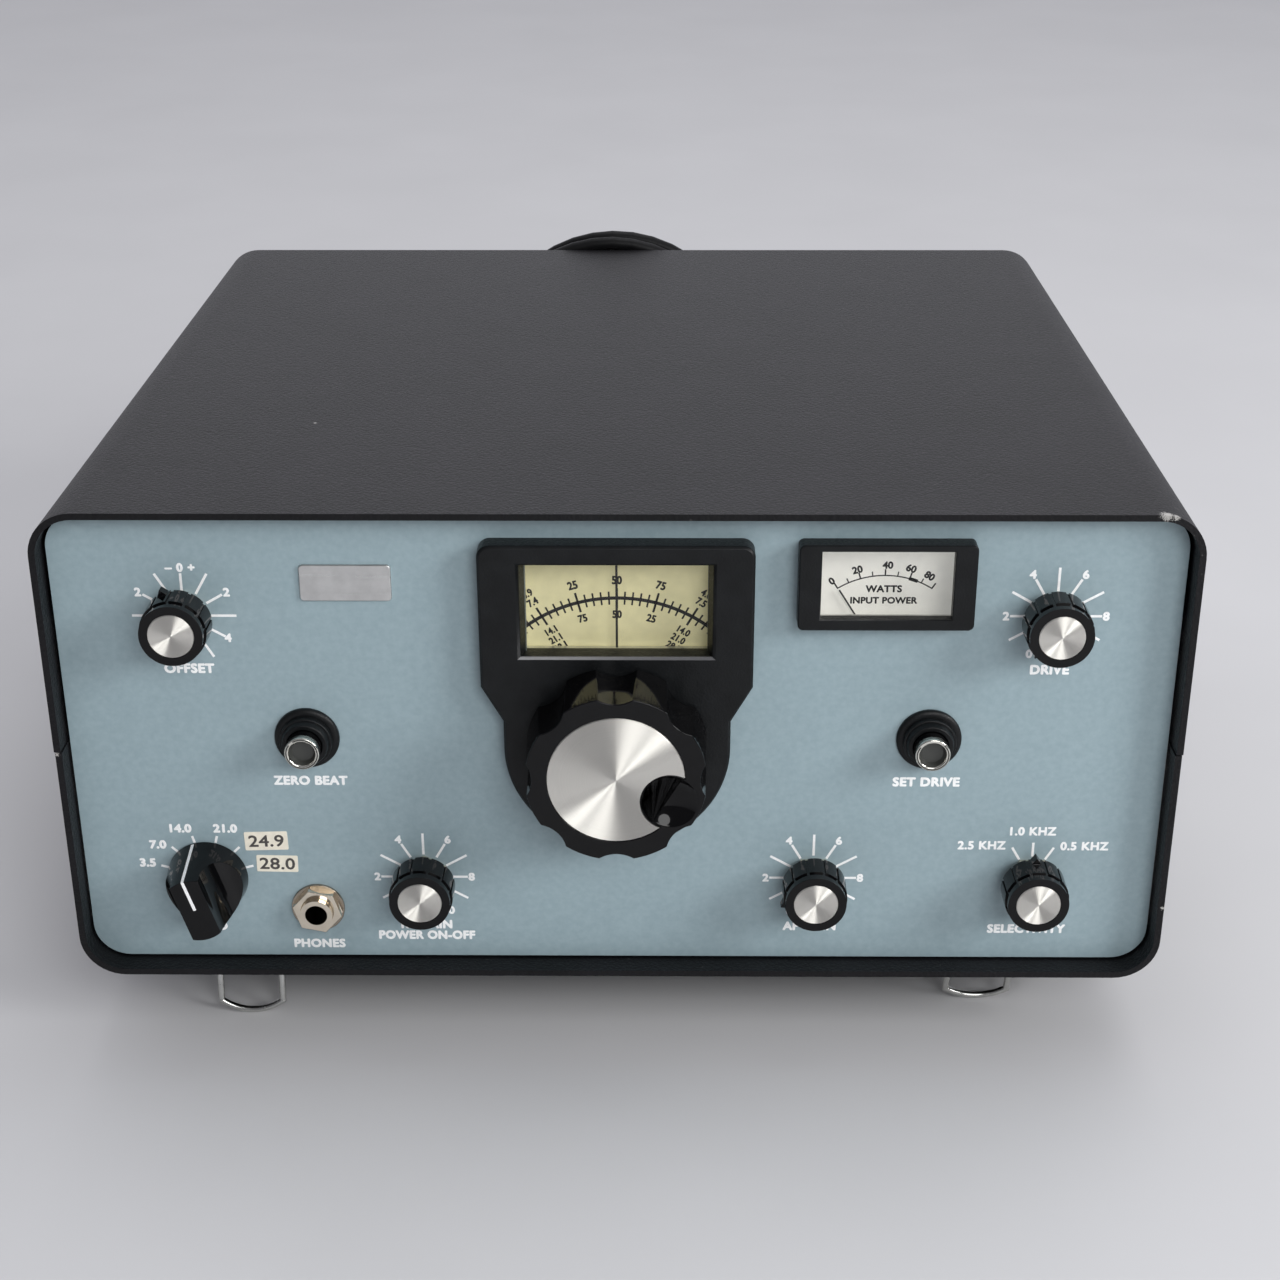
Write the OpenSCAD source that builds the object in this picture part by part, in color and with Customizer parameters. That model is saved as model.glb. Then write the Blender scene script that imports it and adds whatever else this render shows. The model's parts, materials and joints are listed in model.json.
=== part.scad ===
// HF transceiver: two-shell cabinet, front controls, dial drive, meter, rear fittings and mains cord.
// Cabinet axes: x to the right, y to the rear from the front rim, z up from the cabinet's underside.
// The cabinet stands nose-up on two wire bails and two rear feet, on the plane z = 0. Millimetres.

/* [Cabinet] */
// Width over the upper shell
cab_w = 317.5; // [300:0.5:340]
// Height of the closed shells
cab_h = 146; // [140:0.5:160]
// Depth of the shells
cab_d = 289; // [270:0.5:320]
// Outside corner radius of the shells
cab_r = 12.7; // [8:0.1:16]
// Shell wall with its vinyl covering
shell_t = 1.9; // [1.6:0.1:3]
// Height of the seam between the shells
seam_z = 74; // [60:0.5:84]
// Open line at the seam
seam_gap = 0.3; // [0.1:0.05:0.6]
// Step by which the lower shell lies inside the upper one
seam_step = 0.3; // [0.1:0.05:0.6]
// Depth of the front panel behind the front rim
panel_recess = 7.2; // [4:0.1:12]
// Thickness of the front panel
panel_t = 2; // [1.2:0.1:3]
// Gap between panel edge and shell
panel_edge_gap = 0.6; // [0.3:0.1:1.5]
// Sheet thickness of the chassis
chassis_t = 1.5; // [1:0.1:2]
// Height of the chassis floor above the underside
floor_z = 6; // [4:0.5:8]
// Depth of the rear panel inside the rear rim
rear_recess = 10; // [6:0.5:20]
// Thickness of the rear panel
rear_t = 2; // [1.5:0.1:3]

/* [Screws and feet] */
// Cover screw shank diameter
screw_d = 3; // [2.5:0.1:4]
// Cover screw head diameter
screw_head_d = 6.4; // [5:0.1:8]
// Cover screw head height
screw_head_h = 1.8; // [1:0.1:3]
// Distance of the screws from the front and rear rims
screw_inset = 60; // [40:1:90]
// Height of the upper row of screws above the seam
screw_rise = 32; // [20:1:45]
// Drop of the lower row of screws below the seam
screw_drop = 34; // [20:1:45]
// Rubber foot diameter at the cabinet
foot_d = 16; // [12:0.5:17]
// Rubber foot diameter at the table
foot_tip_d = 14.4; // [10:0.2:18]
// Rubber foot height
foot_h = 9.6; // [6:0.2:12]
// Distance of the feet from the cabinet sides
foot_side = 21; // [20:0.5:22]
// Distance of the front feet from the front rim
foot_front = 24; // [20:1:40]
// Distance of the rear feet from the rear rim
foot_rear = 27; // [20:1:40]

/* [Bails] */
// Wire diameter
wire_d = 2; // [1.6:0.1:3]
// Space between a front foot and the bracket beside it, with both bails centred
bail_space = 2.25; // [2:0.05:14]
// Shift of both bails to the right
bail_shift = -1.6; // [-1.8:0.1:1.8]
// Distance between the two legs of a bail
bail_w = 18.8; // [16:0.1:26]
// Straight length of a leg
bail_leg = 16.9; // [12:0.1:20]
// Depth of the shallow bow that joins the legs
bail_bow = 3.2; // [2:0.1:7]
// Swing of the left bail forward, and of the right bail back, from upright
bail_swing = 12.2; // [4:0.1:20]
// Distance of the bail pivots from the front rim
bail_y = 19.5; // [18:0.1:30]
// Drop of the bail pivots below the cabinet
bail_drop = 3.5; // [2.5:0.1:5]
// Length of each bracket along the pivot
bracket_w = 5; // [3:0.5:8]
// Depth of each bracket
bracket_d = 6; // [5:0.5:10]

/* [Fits] */
// Radial clearance of a turning or sliding fit
run_gap = 0.05; // [0.02:0.01:0.1]
// Clearance of a fixed part in its hole
hole_gap = 0.1; // [0.05:0.05:0.3]
// Space between parts that pass each other
pass_gap = 0.5; // [0.3:0.1:1]

/* [Control layout] */
// Distance of the outer controls from the centre line
outer_x = 120.4; // [115:0.1:126]
// Distance of the lower inner controls from the centre line
inner_x = 56.8; // [54:0.1:62]
// Drop of the upper controls below the cabinet's top
upper_drop = 32.6; // [28:0.1:41]
// Height of the lower controls
lower_z = 29.5; // [26:0.1:36]
// Distance of the push-buttons from the centre line
button_x = 88.2; // [84:0.1:94]
// Rise of the push-buttons above the cabinet's middle
button_rise = 2.4; // [-3:0.1:9]
// Distance of the headphone jack from the push-button's line, outwards
phones_out = 0.5; // [0:0.1:1]
// Height of the headphone jack
phones_z = 19.2; // [17:0.1:24]
// Rise of the tuning axis above the cabinet's middle
tune_rise = 2; // [-3:0.1:5]

/* [Small knobs] */
// Knob diameter at its rear edge
knob_base_d = 18.6; // [17.8:0.1:22]
// Knob diameter at the front
knob_front_d = 17.5; // [16:0.1:20]
// Gap between the knob and the panel
knob_gap = 4.4; // [3.5:0.1:5.5]
// Step from the grips down to the plain band
grip_step = 0.45; // [0.3:0.05:0.8]
// Height of the knob face above the panel
knob_h = 15; // [12:0.1:18]
// Number of grips around the knob
knob_grips = 12; // [8:1:16]
// Width of the grooves between the grips
groove_w = 0.8; // [0.5:0.1:1.2]
// Depth of the grooves
groove_depth = 0.4; // [0.3:0.1:0.8]
// Plain band in front of the grooves
knob_band = 3; // [2:0.1:5]
// Reach of the pointer beyond the base
pointer_reach = 1.8; // [0.8:0.1:2]
// Width of the pointer
pointer_w = 2.6; // [2:0.1:4]
// Height of the pointer
pointer_h = 3; // [2:0.1:5]
// Diameter of the aluminium cap
cap_d = 12.6; // [10:0.1:14]
// Thickness of the cap
cap_t = 0.8; // [0.5:0.1:1.2]
// Shaft diameter of every control
shaft_d = 6.35; // [6:0.05:6.5]
// Bushing diameter of every control
bushing_d = 9.5; // [9:0.1:10]
// Reach of the bushing in front of the panel
bushing_reach = 4.2; // [3.4:0.1:5]
// Width of the bushing nut across its flats
nut_af = 12.7; // [12:0.1:13]
// Height of the bushing nut
nut_h = 2.4; // [2:0.1:3]
// Potentiometer body diameter
pot_d = 22; // [18:0.5:22]
// Potentiometer body depth
pot_depth = 13; // [10:0.5:18]

/* [Tuning] */
// Tuning knob diameter at the front
tune_d = 50; // [44:0.5:52]
// Widening of the tuning knob towards the panel
tune_draft = 1.6; // [0:0.1:2]
// Height of the tuning knob face above the panel
tune_h = 25; // [22:0.1:30]
// Number of flutes
flutes = 8; // [6:1:10]
// Width of a flute
flute_w = 9.5; // [6:0.1:12]
// Depth of a flute under its edges
flute_depth = 1.4; // [0.8:0.1:2]
// Wall of the hollow knob
tune_wall = 3.4; // [2.5:0.1:5]
// Diameter of the knob's hub
hub_d = 14; // [11:0.5:18]
// Diameter of the aluminium face
face_d = 37.8; // [34:0.1:40]
// Diameter of the finger dimple
dimple_d = 16.2; // [12:0.1:16.4]
// Width of the knob's edge outside the dimple
dimple_edge = 0.5; // [0.3:0.1:3]
// Depth of the dimple
dimple_depth = 3; // [2:0.1:3.4]
// Direction of the dimple, clockwise from the top
dimple_at = 114; // [0:1:359]
// Thickness of the escutcheon
escut_t = 6.5; // [5:0.1:8]
// Width of the escutcheon
escut_w = 75.6; // [72:0.1:80]
// Drop of the escutcheon's top edge below the cabinet's top
escut_drop = 9.6; // [6:0.1:12]
// Corner radius of the escutcheon
escut_r = 3.5; // [2:0.1:6]
// Rise of the escutcheon's shoulders, where its sides turn in, above the tuning axis
shoulder_rise = 19.2; // [15:0.1:23]
// Rise of the neck, where the sides meet the lower ring, above the tuning axis
neck_rise = 8.6; // [5:0.1:13]
// Diameter of the lower ring
ring_d = 63.6; // [60:0.1:68]
// Width of the dial window
window_w = 50.4; // [46:0.1:54]
// Flare of the window's sides
window_flare = 1.5; // [0.5:0.1:3]
// Rise of the dial window's lower edge above the tuning axis
window_rise = 28.5; // [27:0.1:31]
// Width of the escutcheon above the dial window
window_rim = 5.7; // [3.9:0.1:8.9]
// Thickness of the clear pane
pane_t = 2; // [1.2:0.1:2.5]
// Overlap of the pane behind the window's edge
pane_lap = 2; // [1:0.1:3]
// Reach of the dial disc above the dial window
disc_lap = 3.3; // [0.3:0.1:3.3]
// Dial disc thickness
disc_t = 1; // [0.8:0.1:1.6]
// Diameter of the bearing sleeve
sleeve_d = 13; // [12:0.1:15]
// Diameter of the dial hub
dial_hub_d = 22; // [20:0.5:26]
// Length of the dial hub
dial_hub_len = 9; // [6:0.5:12]
// Width of the oscillator box
box_w = 76; // [60:1:80]
// Height of the oscillator box
box_h = 60; // [50:1:64]
// Depth of the oscillator box
box_d = 90; // [70:1:100]

/* [Band knob] */
// Diameter of the band knob's base
band_d = 23.6; // [22:0.1:26]
// Narrowing of the band knob from base to top
band_taper = 3.9; // [1:0.1:5]
// Height of the band knob above the panel
band_h = 19.3; // [16:0.1:22]
// Width of the grip bar
band_bar_w = 8.6; // [6:0.1:9]
// Radius of the finger scoops
scoop_r = 13; // [10:0.1:13]
// Pointer direction, clockwise from the top
band_at = -17.2; // [-77.2:30:72.8]

/* [Push-buttons and jack] */
// Diameter of the push-button collar
collar_d = 18.5; // [16:0.1:20]
// Height of the collar above the panel
collar_h = 5.6; // [4:0.1:7]
// Diameter of the chrome plunger
plunger_d = 9.8; // [8:0.1:11]
// Height of the plunger above the panel
plunger_h = 10.6; // [9:0.1:12]
// Travel of the plunger
plunger_travel = 2.5; // [1.5:0.1:3]
// Diameter of the switch body behind the panel
switch_d = 17; // [15:0.5:20]
// Depth of the switch body
switch_depth = 18; // [16:0.5:24]
// Bore of the plug sockets
jack_bore_d = 6.5; // [6.3:0.05:6.7]
// Reach of the headphone jack in front of the panel
jack_reach = 5; // [4:0.1:7]
// Washer diameter under the headphone nut
washer_d = 15.6; // [14:0.1:18]
// Washer thickness
washer_t = 0.8; // [0.5:0.1:1.2]
// Turn of the headphone jack's nut, clockwise
nut_turn = 12; // [0:1:59]

/* [Meter] */
// Centre of the meter from the centre line
meter_x = 73.8; // [72:0.1:76]
// Drop of the meter bezel's lower edge below the cabinet's top
meter_drop = 34.7; // [33:0.1:36]
// Width of the bezel
meter_w = 48.3; // [46:0.1:52]
// Height of the bezel
meter_h = 25.1; // [24:0.1:28]
// Height of the bezel above the panel
meter_out = 5.5; // [4:0.1:7]
// Thickness of the bezel's front
meter_rim_t = 3; // [2:0.1:3.5]
// Width of the meter window
meter_win_w = 36; // [32:0.1:38]
// Height of the meter window
meter_win_h = 19.9; // [18:0.1:20]
// Width of the bezel below the window
meter_sill = 3.3; // [2.5:0.1:5]
// Depth of the meter case behind the panel
meter_depth = 30; // [22:0.5:40]
// Distance of the needle's pivot below the bezel
pivot_below = 12; // [10:0.1:14]
// Length of the needle
needle_len = 22.8; // [22:0.1:26]
// Rest direction of the needle, clockwise from upright
needle_at = -31.9; // [-34:0.1:-28]

/* [Badge] */
// Centre of the badge plate from the centre line
badge_x = -74.5; // [-80:0.1:-70]
// Drop of the badge plate's centre below the cabinet's top
badge_drop = 22.8; // [18:0.1:28]
// Width of the badge plate
badge_w = 25.3; // [20:0.1:30]
// Height of the badge plate
badge_h = 10.7; // [8:0.1:14]
// Thickness of the badge plate
badge_t = 0.8; // [0.5:0.1:1.5]

/* [Rear fittings] */
// Distance of the heat sink's centre from the cabinet side
sink_side = 44.75; // [40.75:0.25:50.75]
// Width of the heat sink
sink_w = 72; // [60:1:80]
// Lower edge of the heat sink
sink_z = 28; // [20:1:40]
// Height of the heat sink
sink_h = 90; // [70:1:100]
// Reach of the heat sink behind the rear panel
sink_reach = 24; // [16:0.5:30]
// Thickness of the heat sink's base
sink_base = 4; // [3:0.1:6]
// Number of fins
fins = 9; // [5:1:12]
// Thickness of a fin
fin_t = 1.8; // [1.2:0.1:2.4]
// Distance of the antenna socket and the fuse holder from the cabinet side
antenna_side = 36.75; // [28.75:0.25:43.75]
// Height of the antenna socket
antenna_z = 46; // [40:0.5:60]
// Outside diameter of the antenna socket's thread
antenna_d = 15.9; // [15:0.1:16]
// Side of the antenna socket's flange
antenna_flange = 25.4; // [24:0.1:28]
// Reach of the antenna socket
antenna_reach = 18; // [14:0.5:22]
// Distance between the key jack and the antenna socket
key_space = 30; // [24:0.5:36]
// Height of the key jack
key_z = 46; // [40:0.5:60]
// Reach of the key jack behind the rear panel
key_reach = 6; // [4:0.1:8]
// Height of the fuse holder
fuse_z = 92; // [85:0.5:105]
// Diameter of the fuse cap
fuse_d = 14; // [12:0.1:16]
// Reach of the fuse holder
fuse_reach = 14; // [10:0.5:18]

/* [Cord] */
// Cord diameter
cord_d = 4.8; // [4.6:0.1:4.8]
// Length of the strain relief behind the rear panel
gland_len = 24; // [20:0.5:30]
// Diameter of the strain relief at the rear panel
gland_d = 11; // [9:0.1:13]
// Place of the cord gland from the centre line
gland_x = 78; // [76:0.5:84]
// Height of the cord gland
gland_z = 24; // [20:0.5:30]
// Turns in the coil
coil_turns = 4; // [4:2:6]
// Width over the coil
coil_w = 128; // [110:1:130]
// Height over the coil, along its lean
coil_h = 163; // [140:1:166]
// Step between neighbouring turns
coil_step = 5.6; // [5.4:0.1:6]
// Lean of the coil against the cabinet, from upright
coil_lean = 8; // [6:0.5:12]
// Middle of the coil from the centre line
coil_x = -7; // [-10:0.5:-4]
// Width of the tie along the cord
tie_w = 9; // [6:0.5:12]
// Thickness of the tie
tie_t = 1; // [0.6:0.1:1.5]
// Length of the plug's body
plug_len = 36; // [30:0.5:42]
// Height of the plug's body
plug_h = 14; // [12:0.5:16]
// Width of the plug's body
plug_w = 35; // [30:0.5:38]
// Distance between the plug's pins
pin_space = 19; // [18:0.1:20]
// Pin diameter
pin_d = 4; // [4:0.1:4.8]
// Pin length
pin_len = 19; // [18:0.1:20]

/* [Inside] */
// Width of the power transformer
trafo_w = 70; // [60:1:80]
// Depth of the power transformer
trafo_d = 58; // [50:1:70]
// Height of the power transformer
trafo_h = 62; // [50:1:70]
// Width of the main circuit board
board_w = 190; // [150:1:200]
// Depth of the main circuit board
board_d = 135; // [110:1:140]
// Thickness of the main circuit board
board_t = 1.6; // [1:0.1:2]
// Height of the board's standoffs
standoff_h = 12; // [8:0.5:16]
// Diameter of the loudspeaker
speaker_d = 76; // [66:1:80]
// Depth of the loudspeaker
speaker_h = 26; // [20:0.5:32]

/* [Hidden] */
$fn = 64;
eps = 0.2;
black = [0.06, 0.06, 0.065];
metal = [0.78, 0.79, 0.8];
plated = [0.72, 0.7, 0.62];

// Planes along y that the pieces share
panel_back = panel_recess + panel_t;
flange_back = panel_back + chassis_t;
rear_face = cab_d - rear_recess;
rear_front = rear_face - rear_t;

// Shell insides and the panel's outline
inner_w = cab_w - 2 * shell_t;
lower_w = cab_w - 2 * seam_step;
lower_inner_w = lower_w - 2 * shell_t;
panel_w = lower_inner_w - 2 * panel_edge_gap;
panel_h = cab_h - 2 * shell_t - 2 * panel_edge_gap;
panel_r = cab_r - shell_t - panel_edge_gap;
wall_x = lower_inner_w / 2;

// Places that follow the cabinet's top, middle and sides
upper_z = cab_h - upper_drop;
button_z = cab_h / 2 + button_rise;
tune_z = cab_h / 2 + tune_rise;
escut_top = cab_h - escut_drop;
shoulder_z = tune_z + shoulder_rise;
neck_z = tune_z + neck_rise;
window_z = tune_z + window_rise;
window_h = escut_top - window_rim - window_z;
disc_d = 2 * (window_z + window_h + disc_lap - tune_z);
meter_z = cab_h - meter_drop;
badge_z = cab_h - badge_drop;
bail_side_gap = 0.6;
bracket_x = bail_w / 2 + wire_d / 2 + bail_side_gap + bracket_w / 2;
bail_x = cab_w / 2 - foot_side - foot_d / 2 - bail_space - bracket_x - bracket_w / 2;
sink_x = sink_side - cab_w / 2;
antenna_x = cab_w / 2 - antenna_side;
fuse_x = antenna_x;
key_x = antenna_x - key_space;

// Stance: the bails and the rear feet's back edges touch the table
bail_len = bail_leg + bail_bow;
foot_y1 = cab_d - foot_rear;
stance_a = foot_y1 + foot_tip_d / 2 - bail_y;
stance_b = foot_h - bail_drop;
stance_q = bail_len * cos(bail_swing) + wire_d / 2;
tilt = asin(stance_q / norm([stance_a, stance_b])) - atan2(stance_b, stance_a);
lift = (foot_y1 + foot_tip_d / 2) * sin(tilt) + foot_h * cos(tilt);

// Front and rear ends of the standing object, so that it is centred on the origin
y_front = (panel_recess - tune_h) * cos(tilt) + (tune_z - tune_d / 2) * sin(tilt);
y_rear = (rear_face + sink_reach) * cos(tilt) + (sink_z + sink_h) * sin(tilt);
y_mid = (y_front + y_rear) / 2;

// A cabinet point in standing coordinates, and a cabinet direction
function turn(p) = [p[0], p[1] * cos(tilt) + p[2] * sin(tilt), p[2] * cos(tilt) - p[1] * sin(tilt)];
function world(p) = turn(p) + [0, -y_mid, lift];

module stand() {
    translate([0, -y_mid, lift]) rotate([-tilt, 0, 0]) children();
}

// Local frames on the front and rear panels: X right, Y up (front), Z away from the panel
module at_panel(x, z, spin = 0) {
    translate([x, panel_recess, z]) rotate([90, 0, 0]) rotate([0, 0, -spin]) children();
}

module at_rear(x, z) {
    translate([x, rear_face, z]) rotate([-90, 0, 0]) children();
}

// A drawing in x and z, extruded from y0 to y1
module along_y(y0, y1) {
    translate([0, y1, 0]) rotate([90, 0, 0]) linear_extrude(height = y1 - y0) children();
}

module ring(d, bore, h) {
    difference() {
        cylinder(d = d, h = h);
        translate([0, 0, -eps]) cylinder(d = bore, h = h + 2 * eps);
    }
}

module round_rect(w, h, r) {
    square([w - 2 * r, h], center = true);
    square([w, h - 2 * r], center = true);
    for (x = [-1, 1], y = [-1, 1]) translate([x * (w / 2 - r), y * (h / 2 - r)]) circle(r = r);
}

module box(x0, x1, y0, y1, z0, z1) {
    translate([x0, y0, z0]) cube([x1 - x0, y1 - y0, z1 - z0]);
}

// Control places: [x, z, pointer angle clockwise from the top]
offset_at = [-outer_x, upper_z, -20];
drive_at = [outer_x, upper_z, -150];
rf_at = [-inner_x, lower_z, -150];
af_at = [inner_x, lower_z, -120];
select_at = [outer_x, lower_z, 0];
band_place = [-outer_x, lower_z, band_at];
POTS = [offset_at, drive_at, rf_at, af_at];
BUSHED = concat(POTS, [select_at, band_place]);
BUTTONS = [-button_x, button_x];
phones_x = -button_x - phones_out;

// Rotary switch wafers behind the band knob, and the room left between pieces inside
wafer_d = 30;
wafer_t = 2;
wafer_pitch = 14;
band_wafers = 4;
switch_rear = flange_back + pot_depth + band_wafers * wafer_pitch;
inside_gap = 6;

// Cabinet screws along the sides
screw_ys = [screw_inset, cab_d - screw_inset];
screw_zs = [seam_z - screw_drop, seam_z + screw_rise];

module screw_holes() {
    for (s = [-1, 1], y = screw_ys, z = screw_zs)
        translate([s * cab_w / 2, y, z]) rotate([0, s * 90, 0])
            translate([0, 0, -3 * shell_t]) cylinder(d = screw_d + 2 * hole_gap, h = 4 * shell_t);
}

// Upper shell
module top_cover() {
    color(black) stand() difference() {
        along_y(0, cab_d) difference() {
            translate([0, cab_h / 2]) round_rect(cab_w, cab_h, cab_r);
            translate([0, cab_h / 2])
                round_rect(inner_w, cab_h - 2 * shell_t, cab_r - shell_t);
            translate([-cab_w, -cab_h]) square([2 * cab_w, cab_h + seam_z]);
        }
        screw_holes();
    }
}

// Lower shell with the loudspeaker's holes
speaker_x = -(box_w / 2 + speaker_d / 2 + inside_gap);
speaker_y = switch_rear + speaker_d / 2 + inside_gap;
speaker_rim = 6;
grille_pitch = 9;
grille_d = 4;
grille_reach = floor(speaker_d / 2 / grille_pitch);
module bottom_cover() {
    color(black) stand() difference() {
        along_y(0, cab_d) difference() {
            translate([0, cab_h / 2]) round_rect(lower_w, cab_h, cab_r);
            translate([0, cab_h / 2]) round_rect(lower_inner_w, cab_h - 2 * shell_t, cab_r - shell_t);
            translate([-cab_w, seam_z - seam_gap]) square([2 * cab_w, cab_h]);
        }
        screw_holes();
        for (i = [-grille_reach:grille_reach], j = [-grille_reach:grille_reach])
            if (norm([i, j]) * grille_pitch < speaker_d / 2 - speaker_rim)
                translate([speaker_x + i * grille_pitch, speaker_y + j * grille_pitch, -eps])
                    cylinder(d = grille_d, h = shell_t + 2 * eps);
    }
}

// Openings that go through both the front panel and the chassis flange behind it
sight_drop = 1;
module panel_openings() {
    for (c = BUSHED) translate([c[0], c[1]]) circle(d = bushing_d + 2 * hole_gap);
    for (x = BUTTONS) translate([x, button_z]) circle(d = barrel_d + 2 * hole_gap);
    translate([phones_x, phones_z]) circle(d = bushing_d + 2 * hole_gap);
    translate([0, tune_z]) circle(d = sleeve_d + 2 * hole_gap);
    translate([-window_w / 2, window_z - sight_drop]) square([window_w, window_h + sight_drop]);
    translate([meter_x - meter_win_w / 2 - sight_drop, meter_z + sight_drop])
        square([meter_win_w + 2 * sight_drop, meter_win_h + meter_sill - sight_drop]);
    for (p = STUDS) translate(p) circle(d = stud_d + 2 * hole_gap);
}

// Studs that hold the escutcheon
stud_d = 3;
stud_in = 4.5;
stud_x = escut_w / 2 - stud_in;
STUDS = [for (x = [-stud_x, stud_x], z = [shoulder_z + stud_in, escut_top - stud_in]) [x, z]];

module panel_outline() {
    translate([0, cab_h / 2]) round_rect(panel_w, panel_h, panel_r);
}

module front_panel() {
    color([0.53, 0.61, 0.64]) stand() along_y(panel_recess, panel_back) difference() {
        panel_outline();
        panel_openings();
    }
}

// Chassis: floor, front flange, side walls stepped round the shell's corners, rear lip, board standoffs
wall_h = seam_z + screw_rise + screw_head_d;
corner_in = cab_r - shell_t;
tray_x = wall_x - corner_in + sqrt(pow(corner_in, 2) - pow(cab_r - floor_z, 2)) - pass_gap;
floor_top = floor_z + chassis_t;
rear_lip_h = 8;
board_x0 = -48;
board_y0 = rear_front - board_d - inside_gap;
board_inset = 6;
standoff_d = 6;
BOARD_POSTS = [for (x = [board_x0 + board_inset, board_x0 + board_w - board_inset],
    y = [board_y0 + board_inset, board_y0 + board_d - board_inset]) [x, y]];
module chassis_side() {
    box(tray_x - chassis_t, tray_x, panel_back, rear_front, floor_z, cab_r + chassis_t);
    box(tray_x - chassis_t, wall_x, panel_back, rear_front, cab_r, cab_r + chassis_t);
    box(wall_x - chassis_t, wall_x, panel_back, rear_front, cab_r, wall_h);
}

module chassis() {
    color([0.7, 0.7, 0.68]) stand() difference() {
        union() {
            along_y(panel_back, flange_back) difference() {
                panel_outline();
                panel_openings();
            }
            box(-tray_x, tray_x, panel_back, rear_front, floor_z, floor_top);
            for (s = [0, 1]) mirror([s, 0, 0]) chassis_side();
            box(-tray_x, tray_x, rear_front - chassis_t, rear_front, floor_z, floor_top + rear_lip_h);
            for (p = BOARD_POSTS) translate([p[0], p[1], floor_z])
                cylinder(d = standoff_d, h = chassis_t + standoff_h);
        }
        screw_holes();
        translate([speaker_x, speaker_y, 0]) cylinder(d = speaker_d - 2 * speaker_rim, h = 2 * floor_z);
    }
}

module rear_panel() {
    color([0.68, 0.69, 0.68]) stand() along_y(rear_front, rear_face) difference() {
        panel_outline();
        translate([antenna_x, antenna_z]) circle(d = antenna_d + 2 * hole_gap);
        translate([key_x, key_z]) circle(d = bushing_d + 2 * hole_gap);
        translate([fuse_x, fuse_z]) circle(d = fuse_body_d + 2 * hole_gap);
        translate([gland_x, gland_z]) circle(d = gland_d + 2 * hole_gap);
    }
}

module cover_screws() {
    slot = 0.8;
    shank = shell_t + seam_step + chassis_t;
    color(metal) stand() for (s = [-1, 1], y = screw_ys, z = screw_zs)
        translate([s * (z > seam_z ? cab_w : lower_w) / 2, y, z]) rotate([0, s * 90, 0]) difference() {
            union() {
                translate([0, 0, -shank]) cylinder(d = screw_d, h = shank + eps);
                cylinder(d = screw_head_d, h = screw_head_h);
            }
            translate([-screw_head_d, -slot / 2, screw_head_h - slot])
                cube([2 * screw_head_d, slot, 2 * slot]);
        }
}

module rubber_feet() {
    color([0.08, 0.08, 0.08]) stand() for (s = [-1, 1], y = [foot_front, foot_y1])
        translate([s * (cab_w / 2 - foot_side), y, -foot_h])
            cylinder(d1 = foot_tip_d, d2 = foot_d, h = foot_h);
}

// Bails: legs joined by a shallow bow, with pivot ends that turn outward into the brackets
bail_bend_d = 1.06 * wire_d;
bail_pin_end = 1.5;
bail_pin = bracket_w + bail_pin_end;
bow_r = (pow(bail_w / 2, 2) + pow(bail_bow, 2)) / (2 * bail_bow);
bow_half = asin(bail_w / 2 / bow_r);
module bail_brackets() {
    color(metal) stand() for (s = [-1, 1], e = [-1, 1])
        translate([bail_shift + s * bail_x + e * bracket_x, bail_y, 0]) difference() {
            translate([-bracket_w / 2, -bracket_d / 2, -bail_drop - wire_d])
                cube([bracket_w, bracket_d, bail_drop + wire_d]);
            translate([-bracket_w, 0, -bail_drop]) rotate([0, 90, 0])
                cylinder(d = wire_d + 2 * run_gap, h = 2 * bracket_w);
        }
}

module rod(p, q, d) {
    v = q - p;
    translate(p) rotate([0, acos(v[2] / norm(v)), atan2(v[1], v[0])]) cylinder(d = d, h = norm(v));
}

module bail(swing) {
    half = bail_w / 2;
    translate([0, 0, -bail_drop]) rotate([-(swing - tilt), 0, 0]) {
        for (e = [-1, 1]) {
            rod([e * half, 0, 0], [e * half, 0, -bail_leg], wire_d);
            rod([e * half, 0, 0], [e * (half + bail_pin), 0, 0], wire_d);
            translate([e * half, 0, 0]) sphere(d = bail_bend_d);
            translate([e * half, 0, -bail_leg]) sphere(d = bail_bend_d);
        }
        translate([0, 0, bow_r - bail_len]) rotate([90, 0, 0]) rotate([0, 0, -90 - bow_half])
            rotate_extrude(angle = 2 * bow_half) translate([bow_r, 0]) circle(d = wire_d);
    }
}

module bail_left() {
    color(metal) stand() translate([bail_shift - bail_x, bail_y, 0]) bail(bail_swing);
}

module bail_right() {
    color(metal) stand() translate([bail_shift + bail_x, bail_y, 0]) bail(-bail_swing);
}

// Outline of the escutcheon: square head, sloping shoulders, round lower ring on the tuning axis
module escutcheon_outline() {
    head_h = escut_top - shoulder_z;
    translate([0, escut_top - head_h / 2]) round_rect(escut_w, head_h, escut_r);
    translate([-escut_w / 2, shoulder_z]) square([escut_w, head_h / 2]);
    polygon([[-escut_w / 2, shoulder_z], [escut_w / 2, shoulder_z],
        [ring_d / 2, neck_z], [-ring_d / 2, neck_z]]);
    translate([-ring_d / 2, tune_z]) square([ring_d, neck_z - tune_z]);
    translate([0, tune_z]) circle(d = ring_d);
}

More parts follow.
